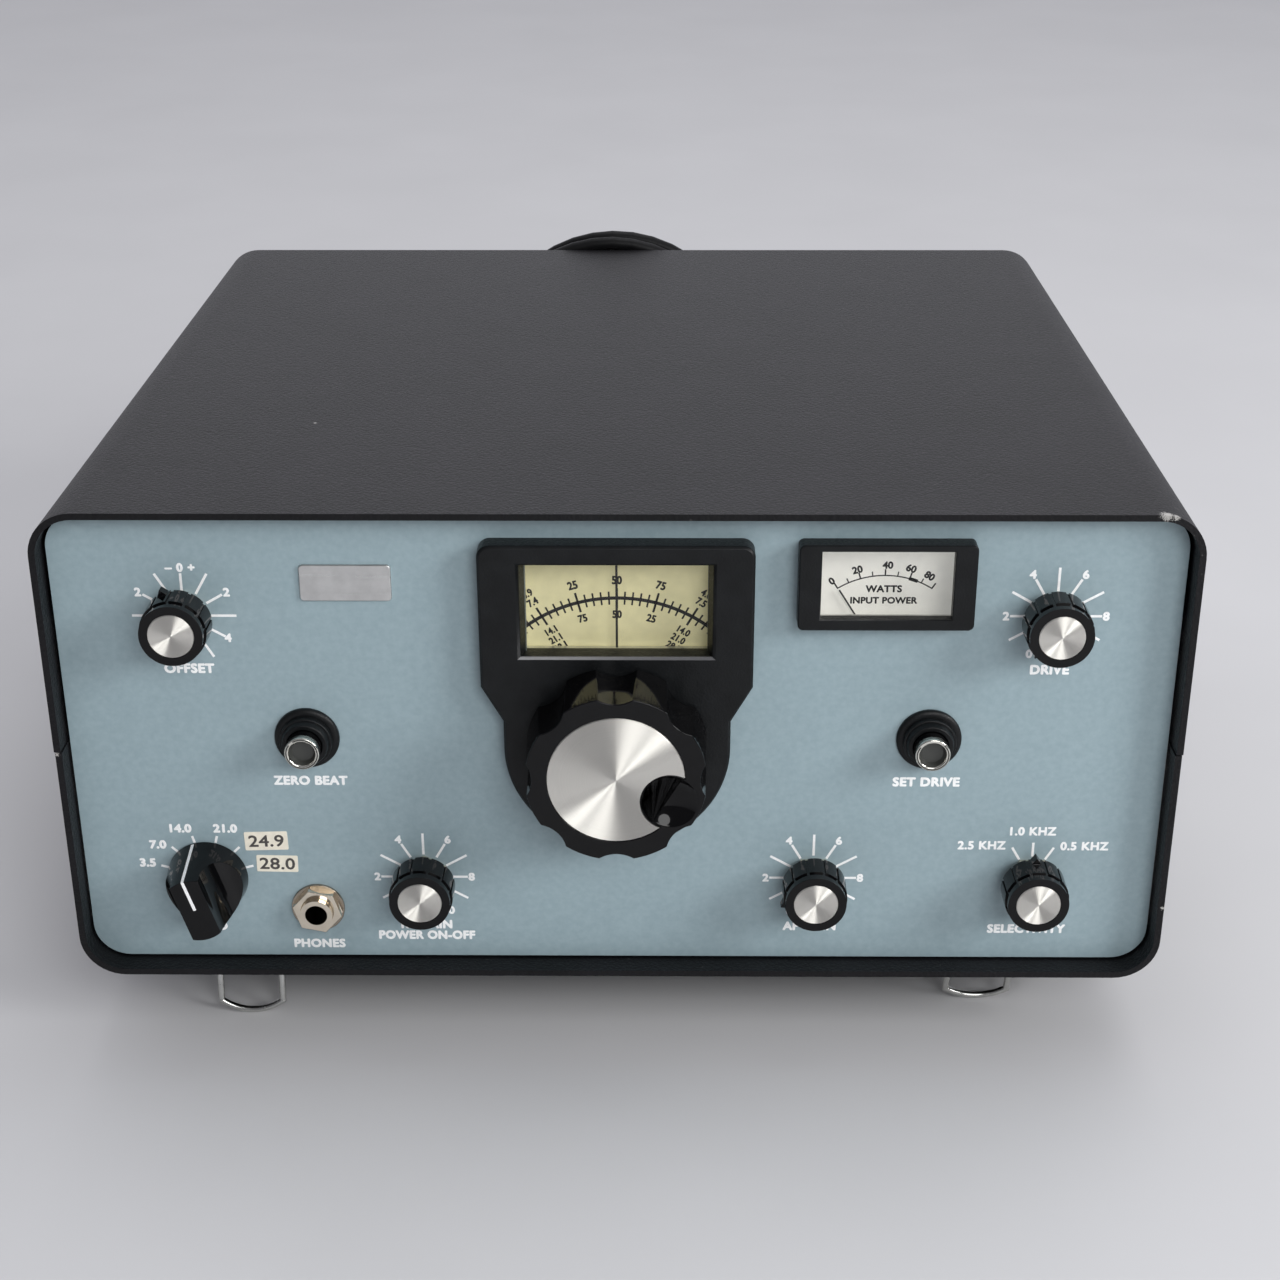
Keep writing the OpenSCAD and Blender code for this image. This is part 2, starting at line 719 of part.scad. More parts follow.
module dial_escutcheon() {
    front = panel_recess - escut_t;
    color(black) stand() difference() {
        union() {
            along_y(front, panel_recess) escutcheon_outline();
            for (p = STUDS) translate([p[0], 0, p[1]]) along_y(front + 1, flange_back) circle(d = stud_d);
        }
        translate([0, 0, window_z]) linear_extrude(height = window_h) polygon([
            [-window_w / 2 - window_flare, front - eps], [window_w / 2 + window_flare, front - eps],
            [window_w / 2, panel_recess - pane_t], [window_w / 2, panel_recess + eps],
            [-window_w / 2, panel_recess + eps], [-window_w / 2, panel_recess - pane_t]]);
        box(-window_w / 2 - pane_lap, window_w / 2 + pane_lap, panel_recess - pane_t, panel_recess + eps,
            window_z - pane_lap, window_z + window_h + pane_lap);
        at_panel(0, tune_z) translate([0, 0, -eps])
            cylinder(d = sleeve_d + 2 * hole_gap, h = escut_t + 2 * eps);
    }
}

module dial_window() {
    w = window_w + 2 * pane_lap - 2 * hole_gap;
    color([0.85, 0.9, 0.9, 0.4]) stand()
        box(-w / 2, w / 2, panel_recess - pane_t, panel_recess,
            window_z - pane_lap + hole_gap, window_z + window_h + pane_lap - hole_gap);
}

// Dial disc with its hub, turning on the bearing sleeve
disc_y = flange_back + pass_gap;
module dial_disc() {
    color([0.9, 0.86, 0.66]) stand() translate([0, disc_y, tune_z]) rotate([-90, 0, 0]) difference() {
        union() {
            cylinder(d = disc_d, h = disc_t);
            cylinder(d = dial_hub_d, h = disc_t + dial_hub_len);
        }
        translate([0, 0, -eps]) cylinder(d = sleeve_d + 2 * run_gap, h = disc_t + dial_hub_len + 2 * eps);
    }
}

// Oscillator box on two legs, with the sleeve that carries the dial and the tuning shaft
box_y0 = disc_y + disc_t + dial_hub_len + pass_gap;
box_wall = 2;
module oscillator_box() {
    z0 = tune_z - box_h / 2;
    color([0.74, 0.74, 0.72]) stand() difference() {
        union() {
            box(-box_w / 2, box_w / 2, box_y0, box_y0 + box_d, z0, z0 + box_h);
            for (s = [0, 1]) mirror([s, 0, 0])
                box(box_w / 2 - box_wall, box_w / 2, box_y0, box_y0 + box_d, floor_top, z0 + eps);
            translate([0, panel_recess, tune_z]) rotate([-90, 0, 0])
                cylinder(d = sleeve_d, h = box_y0 - panel_recess + eps);
        }
        box(-box_w / 2 + box_wall, box_w / 2 - box_wall, box_y0 + 2 * box_wall, box_y0 + box_d - box_wall,
            z0 + box_wall, z0 + box_h - box_wall);
        translate([0, panel_recess - eps, tune_z]) rotate([-90, 0, 0])
            cylinder(d = shaft_d + 2 * run_gap, h = box_y0 + 3 * box_wall);
    }
}

// Tuning shaft, from the knob's hub into the oscillator box
tune_bore_top = tune_h - 5;
shaft_tail = 12;
module tuning_shaft() {
    color(metal) stand() at_panel(0, tune_z)
        translate([0, 0, -(box_y0 - panel_recess) - shaft_tail])
            cylinder(d = shaft_d, h = tune_bore_top + (box_y0 - panel_recess) + shaft_tail);
}

// Tuning knob: fluted, hollow behind, with a seat for the face and a finger dimple
flute_half = asin(flute_w / tune_d);
flute_r = (pow(flute_w / 2, 2) + pow(flute_depth, 2)) / (2 * flute_depth);
flute_at = tune_d / 2 * cos(flute_half) - flute_depth + flute_r;
tune_back = escut_t + pass_gap;
dimple_ball = (pow(dimple_d / 2, 2) + pow(dimple_depth, 2)) / (2 * dimple_depth);
dimple_rim_d = dimple_d + 0.6;
dimple_r = (tune_d - dimple_d) / 2 - dimple_edge;
module dimple_shift() {
    rotate([0, 0, -dimple_at]) translate([0, dimple_r, 0]) children();
}

module tuning_knob() {
    face_wall = 4.5;
    color(black) stand() at_panel(0, tune_z) difference() {
        translate([0, 0, tune_back])
            cylinder(d1 = tune_d + tune_draft, d2 = tune_d, h = tune_h - tune_back);
        for (k = [0:flutes - 1]) rotate([0, 0, k * 360 / flutes])
            translate([0, flute_at, tune_back - eps]) cylinder(r = flute_r, h = tune_h);
        translate([0, 0, tune_back - eps])
            ring(tune_d - 2 * tune_wall, hub_d, tune_h - tune_back - face_wall + eps);
        translate([0, 0, tune_h - cap_t]) difference() {
            cylinder(d = face_d + 2 * hole_gap, h = cap_t + eps);
            dimple_shift() translate([0, 0, -eps]) cylinder(d = dimple_rim_d, h = cap_t + 3 * eps);
        }
        dimple_shift() translate([0, 0, tune_h - dimple_depth + dimple_ball]) sphere(r = dimple_ball);
        translate([0, 0, tune_back - eps]) cylinder(d = shaft_d, h = tune_bore_top - tune_back + eps);
    }
}

module tuning_cap() {
    color(metal) stand() at_panel(0, tune_z) translate([0, 0, tune_h - cap_t]) difference() {
        cylinder(d = face_d, h = cap_t);
        dimple_shift() translate([0, 0, -eps])
            cylinder(d = dimple_rim_d + 2 * hole_gap, h = cap_t + 2 * eps);
    }
}

// Small knob in its panel frame, pointer along Y
knob_lift = 0.5;
nut_room = nut_af / cos(30) + 2 * pass_gap;
bore_top = knob_h - 3;
module small_knob() {
    base_r = knob_base_d / 2;
    grip_r = knob_front_d / 2 + grip_step;
    band_z = knob_h - knob_band;
    slope = (base_r - grip_r) / (band_z - knob_gap);
    difference() {
        union() {
            translate([0, 0, knob_gap]) cylinder(r1 = base_r, r2 = grip_r, h = band_z - knob_gap);
            translate([0, 0, knob_gap]) cylinder(d = knob_front_d, h = knob_h - knob_gap);
            translate([0, base_r, knob_gap]) linear_extrude(height = pointer_h) polygon([
                [-pointer_w / 2, -pointer_reach], [pointer_w / 2, -pointer_reach],
                [pointer_w / 2, 0], [0, pointer_reach], [-pointer_w / 2, 0]]);
        }
        for (k = [0:knob_grips - 1]) rotate([0, 0, (k + 0.5) * 360 / knob_grips])
            translate([-groove_w / 2, base_r - groove_depth, knob_gap]) rotate([atan(slope), 0, 0])
                translate([0, 0, -knob_gap]) cube([groove_w, 2 * groove_depth, knob_h]);
        cylinder(d = bushing_d + 2 * pass_gap, h = bushing_reach + pass_gap);
        cylinder(d = shaft_d, h = bore_top);
        translate([0, 0, knob_h - cap_t]) cylinder(d = cap_d + 2 * hole_gap, h = 2 * cap_t);
    }
}

module knob_cap() {
    translate([0, 0, knob_h - cap_t]) cylinder(d = cap_d, h = cap_t);
}

// Control shaft, from the knob back into its potentiometer or switch
control_tail = 6;
module control_shaft(top) {
    back = flange_back - panel_recess + control_tail;
    translate([0, 0, -back]) cylinder(d = shaft_d, h = top + back);
}

module place(at) {
    stand() at_panel(at[0], at[1], at[2]) children();
}

module offset_knob() { color(black) place(offset_at) small_knob(); }
module offset_cap() { color(metal) place(offset_at) knob_cap(); }
module offset_shaft() { color(metal) place(offset_at) control_shaft(bore_top); }
module drive_knob() { color(black) place(drive_at) small_knob(); }
module drive_cap() { color(metal) place(drive_at) knob_cap(); }
module drive_shaft() { color(metal) place(drive_at) control_shaft(bore_top); }
module rf_gain_knob() { color(black) place(rf_at) small_knob(); }
module rf_gain_cap() { color(metal) place(rf_at) knob_cap(); }
module rf_gain_shaft() { color(metal) place(rf_at) control_shaft(bore_top); }
module af_gain_knob() { color(black) place(af_at) small_knob(); }
module af_gain_cap() { color(metal) place(af_at) knob_cap(); }
module af_gain_shaft() { color(metal) place(af_at) control_shaft(bore_top); }
module selectivity_knob() { color(black) place(select_at) small_knob(); }
module selectivity_cap() { color(metal) place(select_at) knob_cap(); }
module selectivity_shaft() { color(metal) place(select_at) control_shaft(bore_top); }

// Bushed body behind the panel: threaded bushing, body of a given diameter, bore for the shaft
module bushed_body(d, depth) {
    back = flange_back - panel_recess;
    difference() {
        union() {
            translate([0, 0, -back - eps]) cylinder(d = bushing_d, h = back + bushing_reach + eps);
            translate([0, 0, -back - depth]) cylinder(d = d, h = depth);
        }
        translate([0, 0, -back - control_tail - pass_gap])
            cylinder(d = shaft_d + 2 * run_gap, h = back + control_tail + pass_gap + bushing_reach + eps);
    }
}

module potentiometers() {
    color([0.55, 0.55, 0.53]) for (c = POTS) place(c) bushed_body(pot_d, pot_depth);
}

// Rotary switches: indexing body and wafers on a rear stem
module rotary_switch(wafers) {
    back = flange_back - panel_recess + pot_depth;
    bushed_body(pot_d, pot_depth);
    translate([0, 0, -back - wafers * wafer_pitch]) cylinder(d = shaft_d, h = wafers * wafer_pitch + eps);
    for (k = [1:wafers]) translate([0, 0, -back - k * wafer_pitch]) cylinder(d = wafer_d, h = wafer_t);
}

module rotary_switches() {
    color([0.6, 0.55, 0.42]) {
        place(select_at) rotary_switch(1);
        place(band_place) rotary_switch(band_wafers);
    }
}

module bushing_nuts() {
    color(plated) for (c = BUSHED) place(c) difference() {
        cylinder(d = nut_af / cos(30), h = nut_h, $fn = 6);
        translate([0, 0, -eps]) cylinder(d = bushing_d, h = nut_h + 2 * eps);
    }
}

// Band knob: round base with a grip bar between two finger scoops
scoop_drop = 2;
band_cap = 4;
module band_knob() {
    scoop_z = band_h - scoop_drop;
    color(black) place(band_place) difference() {
        translate([0, 0, knob_lift])
            cylinder(d1 = band_d, d2 = band_d - band_taper, h = band_h - knob_lift);
        for (s = [-1, 1]) {
            translate([s * (band_bar_w / 2 + scoop_r), band_d, scoop_z]) rotate([90, 0, 0])
                cylinder(r = scoop_r, h = 2 * band_d);
            translate([s * (band_bar_w / 2 + band_d / 2) - band_d / 2, -band_d, scoop_z])
                cube([band_d, 2 * band_d, band_h]);
        }
        cylinder(d = nut_room, h = bushing_reach + pass_gap);
        cylinder(d = shaft_d, h = band_h - band_cap);
    }
}

module band_shaft() {
    color(metal) place(band_place) control_shaft(band_h - band_cap);
}

// Push-switches: stepped collar in front, barrel through the panel, body behind
barrel_d = plunger_d + 4;
switch_floor = 2;
module push_switches() {
    back = flange_back - panel_recess;
    step_h = collar_h / 3;
    step_in = (collar_d - barrel_d) / 2;
    color(black) stand() for (x = BUTTONS) at_panel(x, button_z) difference() {
        union() {
            cylinder(d = collar_d, h = step_h / 2);
            translate([0, 0, step_h / 2]) cylinder(d1 = collar_d, d2 = collar_d - step_in, h = step_h / 2);
            cylinder(d = collar_d - 1.5 * step_in, h = 2 * step_h);
            translate([0, 0, -back - eps]) cylinder(d = barrel_d, h = back + 2 * step_h + eps);
            translate([0, 0, 2 * step_h - eps])
                cylinder(d1 = barrel_d, d2 = barrel_d - step_in / 2, h = step_h + eps);
            translate([0, 0, -back - switch_depth]) cylinder(d = switch_d, h = switch_depth);
        }
        translate([0, 0, -back - switch_depth + switch_floor])
            cylinder(d = plunger_d + 2 * run_gap, h = back + switch_depth + collar_h);
    }
}

// Plunger with a hollow chrome tip
plunger_room = 1;
module plunger(x) {
    back = flange_back - panel_recess + switch_depth - switch_floor - plunger_travel - plunger_room;
    cup_d = plunger_d - 2;
    cup_slope = 0.8;
    cup_depth = 2;
    color(metal) stand() at_panel(x, button_z) difference() {
        translate([0, 0, -back]) cylinder(d = plunger_d, h = back + plunger_h);
        translate([0, 0, plunger_h - cup_depth])
            cylinder(d1 = cup_d - 2 * cup_slope, d2 = cup_d + 2 * cup_slope, h = 2 * cup_depth);
    }
}

module left_button() { plunger(-button_x); }
module right_button() { plunger(button_x); }

// Headphone jack with its socket block, washer and nut
jack_block = [15, 20, 24];
module socket(reach, depth) {
    difference() {
        union() {
            translate([0, 0, -depth - eps]) cylinder(d = bushing_d, h = depth + reach + eps);
            translate([-jack_block[0] / 2, -jack_block[1] / 2, -depth - jack_block[2]]) cube(jack_block);
        }
        translate([0, 0, -depth - jack_block[2] + 2])
            cylinder(d = jack_bore_d, h = depth + jack_block[2] + reach);
    }
}

module phones_jack() {
    color(plated) stand() at_panel(phones_x, phones_z) socket(jack_reach, flange_back - panel_recess);
}

module phones_nut() {
    color(plated) stand() at_panel(phones_x, phones_z) {
        ring(washer_d, bushing_d, washer_t);
        translate([0, 0, washer_t]) difference() {
            rotate([0, 0, -nut_turn]) cylinder(d = nut_af / cos(30), h = nut_h, $fn = 6);
            translate([0, 0, -eps]) cylinder(d = bushing_d, h = nut_h + 2 * eps);
        }
    }
}

// Meter: bezel, window, case behind the panel, scale plate and needle
meter_win_z = meter_z + meter_sill;
bezel_wall = 1.6;
bezel_r = 1.6;
meter_pane_t = 1.2;
module meter_bezel() {
    front = panel_recess - meter_out;
    color(black) stand() difference() {
        along_y(front, panel_recess)
            translate([meter_x, meter_z + meter_h / 2]) round_rect(meter_w, meter_h, bezel_r);
        box(meter_x - meter_win_w / 2, meter_x + meter_win_w / 2, front - eps, panel_recess + eps,
            meter_win_z, meter_win_z + meter_win_h);
        box(meter_x - meter_w / 2 + bezel_wall, meter_x + meter_w / 2 - bezel_wall, front + meter_rim_t,
            panel_recess + eps, meter_z + bezel_wall, meter_z + meter_h - bezel_wall);
    }
}

module meter_window() {
    front = panel_recess - meter_out + meter_rim_t;
    w = meter_w - 2 * bezel_wall - 2 * hole_gap;
    color([0.88, 0.92, 0.92, 0.4]) stand()
        box(meter_x - w / 2, meter_x + w / 2, front, front + meter_pane_t,
            meter_z + bezel_wall + hole_gap, meter_z + meter_h - bezel_wall - hole_gap);
}

// The case is wide behind the window and narrow below it, where the dial disc turns beside it
meter_wall = 1.5;
case_margin = 5;
case_room = 4;
case_step = 2;
pivot_room = 7;
disc_room = 3.9;
case_w = meter_win_w + 2 * case_margin;
case_z1 = meter_win_z + meter_win_h + case_room;
case_step_z = meter_z - case_step;
pivot_z = meter_z - pivot_below;
case_z0 = pivot_z - pivot_room;
disc_reach = sqrt(pow(disc_d / 2, 2) - pow(case_z0 - tune_z, 2));
case_low_w = 2 * (meter_x - disc_reach - disc_room);
scale_back = 3.4;
scale_y = flange_back + scale_back;
scale_t = 0.8;
pivot_d = 1.6;
pivot_len = 2.6;
module case_outline(inset) {
    translate([meter_x - case_w / 2 + inset, case_step_z + inset])
        square([case_w - 2 * inset, case_z1 - case_step_z - 2 * inset]);
    translate([meter_x - case_low_w / 2 + inset, case_z0 + inset])
        square([case_low_w - 2 * inset, case_z1 - case_z0 - 2 * inset]);
}

module meter_case() {
    color([0.12, 0.12, 0.12]) stand() difference() {
        along_y(flange_back, flange_back + meter_depth) case_outline(0);
        along_y(flange_back - eps, scale_y + scale_t) case_outline(meter_wall);
    }
}

module meter_scale() {
    color([0.93, 0.92, 0.88]) stand() {
        along_y(scale_y, scale_y + scale_t) case_outline(meter_wall);
        along_y(scale_y - pivot_len, scale_y + eps) translate([meter_x, pivot_z]) circle(d = pivot_d);
    }
}

module meter_needle() {
    blade_w = 0.4;
    blade_t = 0.5;
    tail_len = 5;
    boss_d = 4;
    boss_h = 1.2;
    color([0.1, 0.1, 0.1]) stand() translate([meter_x, scale_y - pass_gap, pivot_z]) rotate([90, 0, 0])
        rotate([0, 0, -needle_at]) difference() {
            union() {
                cylinder(d = boss_d, h = boss_h);
                translate([-blade_w / 2, 0, blade_t]) cube([blade_w, needle_len, blade_t]);
                translate([-blade_w, -tail_len, blade_t]) cube([2 * blade_w, tail_len, blade_t]);
            }
            translate([0, 0, -eps]) cylinder(d = pivot_d + 2 * run_gap, h = boss_h + 2 * eps);
        }
}

badge_r = 1.2;
module badge_plate() {
    color(metal) stand() along_y(panel_recess - badge_t, panel_recess)
        translate([badge_x, badge_z]) round_rect(badge_w, badge_h, badge_r);
}

// Rear fittings
antenna_screw_d = 4.6;
antenna_screw_h = 1.6;
antenna_mouth_d = 11;
contact_d = 4;
fuse_taper = 2;
fuse_body_d = fuse_d - fuse_taper;
gland_wall = 1;
module heat_sink() {
    fin_step = (sink_w - fin_t) / (fins - 1);
    color([0.1, 0.1, 0.1]) stand() translate([sink_x - sink_w / 2, rear_face, sink_z]) {
        cube([sink_w, sink_base, sink_h]);
        for (k = [0:fins - 1]) translate([k * fin_step, 0, 0]) cube([fin_t, sink_reach, sink_h]);
    }
}

// Coaxial socket: square flange with four screws, threaded barrel, centre contact
module antenna_socket() {
    flange_t = 2.5;
    screw_at = antenna_flange / 2 - 3.7;
    tail = 4;
    mouth_depth = 2;
    contact_depth = 10;
    color(metal) stand() at_rear(antenna_x, antenna_z) difference() {
        union() {
            translate([0, 0, -rear_t - tail]) cylinder(d = antenna_d, h = rear_t + tail + antenna_reach);
            linear_extrude(height = flange_t) round_rect(antenna_flange, antenna_flange, flange_t);
            for (x = [-1, 1], y = [-1, 1]) translate([x * screw_at, y * screw_at, flange_t - eps])
                cylinder(d = antenna_screw_d, h = antenna_screw_h + eps);
        }
        translate([0, 0, antenna_reach - mouth_depth]) cylinder(d = antenna_mouth_d, h = 2 * mouth_depth);
        translate([0, 0, antenna_reach - mouth_depth - contact_depth])
            cylinder(d = contact_d, h = contact_depth + mouth_depth);
    }
}

module key_jack() {
    color(plated) stand() at_rear(key_x, key_z) {
        socket(key_reach, rear_t);
        difference() {
            cylinder(d = nut_af / cos(30), h = nut_h, $fn = 6);
            translate([0, 0, -eps]) cylinder(d = bushing_d - eps, h = nut_h + 2 * eps);
        }
    }
}

module fuse_holder() {
    flange_t = 2;
    tail = 28;
    color(black) stand() at_rear(fuse_x, fuse_z) {
        translate([0, 0, -rear_t - tail]) cylinder(d = fuse_body_d, h = rear_t + tail + eps);
        cylinder(d = fuse_d + 2 * flange_t, h = flange_t);
        cylinder(d1 = fuse_d, d2 = fuse_body_d, h = fuse_reach);
    }
}

// Strain relief: collar through the panel, flange, and a taper around the cord
module cord_gland() {
    flange_t = 3;
    tail = 4;
    color(black) stand() at_rear(gland_x, gland_z) {
        translate([0, 0, -rear_t - tail]) cylinder(d = gland_d, h = rear_t + tail + eps);
        cylinder(d = gland_d + flange_t, h = flange_t);
        translate([0, 0, flange_t - eps])
            cylinder(d1 = gland_d, d2 = cord_d + 2 * gland_wall, h = gland_len - flange_t + eps);
    }
}

// Sweep of a round section along points, on a frame carried from ring to ring
function unit(v) = v / norm(v);
function heading(p, i) = unit(p[min(i + 1, len(p) - 1)] - p[max(i - 1, 0)]);
function side_of(n, t) = unit(n - (n * t) * t);
function frames(p, n, i = 0) = i == len(p) ? [] :
    let (t = heading(p, i), m = side_of(n, t)) concat([[m, cross(t, m)]], frames(p, m, i + 1));

module tube(p, d, sides, n) {
    f = frames(p, n);
    last = len(p) - 1;
    points = [for (i = [0:last], k = [0:sides - 1])
        p[i] + d / 2 * (cos(k * 360 / sides) * f[i][0] + sin(k * 360 / sides) * f[i][1])];
    walls = [for (i = [0:last - 1], k = [0:sides - 1])
        let (a = i * sides + k, b = i * sides + (k + 1) % sides)
        each [[a, a + sides, b], [b, a + sides, b + sides]]];
    far = last * sides;
    ends = [for (k = [1:sides - 2]) each [[0, k, k + 1], [far, far + k + 1, far + k]]];
    polyhedron(points, concat(walls, ends));
}

// Coil: an oval stood on edge, leaning on the cabinet's rear top edge; two layers, in and out again
cord_r = cord_d / 2;
coil_half_w = coil_w / 2 - cord_r;
coil_half_h = coil_h / 2 - cord_r;
coil_up = [0, -sin(coil_lean), cos(coil_lean)];
coil_back = [0, cos(coil_lean), sin(coil_lean)];
rear_edge = world([0, cab_d, cab_h]);
// The front layer's turns clear the rear top edge, and its lowest turn lies on the table
coil_mid_z = coil_half_h * cos(coil_lean) + cord_r;
coil_gap = 0.3;
coil_mid_y = rear_edge[1] + (cord_r + coil_gap) / cos(coil_lean)
    + (rear_edge[2] - coil_mid_z) * tan(coil_lean);
coil_mid = [coil_x, coil_mid_y, coil_mid_z];
rings_per_turn = 24;
coil_rings = coil_turns * rings_per_turn;

function shrink(t) = coil_step * min(t, coil_turns - t);
function climb(t) = let (s = (t - coil_turns / 2) * 2 + 0.5) s < 0 ? 0 : s > 1 ? 1 : s;
function coil_point(t) = coil_mid + coil_step * climb(t) * coil_back
    + (coil_half_w - shrink(t)) * cos(-90 - 360 * t) * [1, 0, 0]
    + (coil_half_h - shrink(t)) * sin(-90 - 360 * t) * coil_up;
coil_path = concat([coil_point(0) + [cord_d, 0, 0]],
    [for (i = [0:coil_rings]) coil_point(i / rings_per_turn)],
    [coil_point(coil_turns) - [cord_d, 0, 0]]);
turn_gap = min([for (i = [0:len(coil_path) - 1], j = [i + rings_per_turn / 2:1:len(coil_path) - 1])
    norm(coil_path[i] - coil_path[j])]) - cord_d;
echo(least_gap_between_turns = turn_gap);

module cord_coil() {
    color(black) tube(coil_path, cord_d, 6, coil_back);
}

// Free stretches: from the gland down to the coil, and from the coil to the plug
gland_end = world([gland_x, rear_face + gland_len, gland_z]);
gland_dir = turn([0, 1, 0]);
coil_in = coil_path[0];
coil_out = coil_path[len(coil_path) - 1];
plug_place = [-78, 196, plug_h / 2];
LEAD = concat([gland_end, gland_end + cord_d * gland_dir],
    [[78, 171, 30], [77.8, 180.6, 27.4], [76.4, 189.2, 22.4], [72.6, 195.6, 15.8], [65.8, 198.8, 9.4],
    [56.8, 198.6, 4.8], [47, 195.4, 2.7], [37, 190.6, 2.4], [27.4, 185, 2.4], [18, 179.6, 2.4],
    [10, 175.6, 2.4]],
    [coil_in + [cord_d, 0, 0], coil_in]);
TAIL = concat([coil_out, coil_out - [cord_d, 0, 0]],
    [[-27, 180.2, 2.7], [-37, 182.6, 2.4], [-46, 186.2, 2.4], [-54, 190.2, 3], [-63, 194.2, 4.9]],
    [plug_place + [cord_d, 0, 0], plug_place]);

module power_cord() {
    color(black) {
        tube(LEAD, cord_d, 8, [1, 0, 0]);
        tube(TAIL, cord_d, 8, [0, 0, 1]);
    }
}

// Tie around the turns on the coil's right-hand side
module tie_section(grow) {
    r0 = coil_half_w - 1.75 * coil_step - cord_r - coil_gap - grow;
    r1 = coil_half_w - 0.25 * coil_step + cord_r + coil_gap + grow;
    translate([r0, -cord_r - coil_gap - grow])
        square([r1 - r0, coil_step + cord_d + 2 * coil_gap + 2 * grow]);
}

module cord_tie() {
    color([0.12, 0.12, 0.13]) translate(coil_mid) rotate([coil_lean, 0, 0])
        translate([0, 0, -tie_w / 2]) linear_extrude(height = tie_w) difference() {
            tie_section(tie_t);
            tie_section(0);
        }
}

// Two-pin plug lying flat on the table: sleeve, shouldered body, round pins
module power_plug() {
    sleeve_len = 8;
    shoulder = 14;
    color(black) translate(plug_place) {
        rotate([0, -90, 0]) cylinder(d1 = cord_d + 3, d2 = 2 * cord_d, h = sleeve_len + eps);
        translate([-sleeve_len, 0, -plug_h / 2]) linear_extrude(height = plug_h) polygon([
            [0, -cord_d], [0, cord_d], [-shoulder, plug_w / 2], [-plug_len, plug_w / 2],
            [-plug_len, -plug_w / 2], [-shoulder, -plug_w / 2]]);
        for (s = [-1, 1]) translate([-sleeve_len - plug_len + eps, s * pin_space / 2, 0]) rotate([0, -90, 0])
            cylinder(d = pin_d, h = pin_len + eps);
    }
}

// Inside: transformer core with its winding, circuit board with cans, loudspeaker facing down
module power_transformer() {
    x0 = sink_x - trafo_w / 2;
    y1 = rear_front - chassis_t - inside_gap;
    winding_out = 12;
    winding_in = 16;
    color([0.35, 0.33, 0.3]) stand() {
        box(x0, x0 + trafo_w, y1 - trafo_d + winding_out, y1 - winding_out, floor_top, floor_top + trafo_h);
        box(x0 + winding_in, x0 + trafo_w - winding_in, y1 - trafo_d, y1,
            floor_top + winding_in / 2, floor_top + trafo_h - winding_in / 2);
    }
}

module main_board() {
    z0 = floor_top + standoff_h;
    can_w = 11;
    can_h = 15;
    col_pitch = 30;
    row_pitch = 42;
    color([0.2, 0.38, 0.22]) stand() {
        box(board_x0, board_x0 + board_w, board_y0, board_y0 + board_d, z0, z0 + board_t);
        for (x = [col_pitch / 2:col_pitch:board_w - can_w], y = [row_pitch / 2:row_pitch:board_d - can_w])
            translate([board_x0 + x - can_w / 2, board_y0 + y - can_w / 2, z0]) cube([can_w, can_w, can_h]);
    }
}

module loudspeaker() {
    frame_t = 2;
    magnet_d = speaker_d / 2;
    mouth_d = speaker_d - 2 * speaker_rim;
    color([0.2, 0.2, 0.2]) stand() translate([speaker_x, speaker_y, floor_top]) difference() {
        union() {
            cylinder(d = speaker_d, h = frame_t);
            cylinder(d1 = speaker_d - speaker_rim, d2 = magnet_d, h = speaker_h / 2);
            cylinder(d = magnet_d, h = speaker_h);
        }
        translate([0, 0, -eps])
            cylinder(d1 = mouth_d, d2 = magnet_d - 2 * speaker_rim, h = speaker_h / 2 - frame_t);
    }
}

top_cover();
bottom_cover();
front_panel();
chassis();
rear_panel();
cover_screws();
rubber_feet();
bail_brackets();
bail_left();
bail_right();
dial_escutcheon();
dial_window();
dial_disc();
oscillator_box();
tuning_shaft();
tuning_knob();
tuning_cap();
offset_knob();
offset_cap();
offset_shaft();
drive_knob();
drive_cap();
drive_shaft();
rf_gain_knob();
rf_gain_cap();
rf_gain_shaft();
af_gain_knob();
af_gain_cap();
af_gain_shaft();
selectivity_knob();
selectivity_cap();
selectivity_shaft();
potentiometers();
rotary_switches();
bushing_nuts();
band_knob();
band_shaft();
push_switches();
left_button();
right_button();
phones_jack();
phones_nut();
meter_bezel();
meter_window();
meter_case();
meter_scale();
meter_needle();
badge_plate();
heat_sink();
antenna_socket();
key_jack();
fuse_holder();
cord_gland();
power_cord();
cord_coil();
cord_tie();
power_plug();
power_transformer();
main_board();
loudspeaker();
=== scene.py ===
# %% [markdown]
# # Dressing a desk-top HF transceiver
# This lesson takes a plain solid model of a short-wave transceiver and gives it the looks of the real
# one: black leather-grain vinyl, a blue-grey panel with white print, glossy fluted knobs with spun
# metal faces, a lit cream dial, a small power meter and a mains lead wound up behind the cabinet.
# The solid model comes in first, as a fixed frame in metres, and every new piece is placed by it.

# %% Load the frame
import json
import math

import bmesh
import bpy
from mathutils import Matrix, Vector

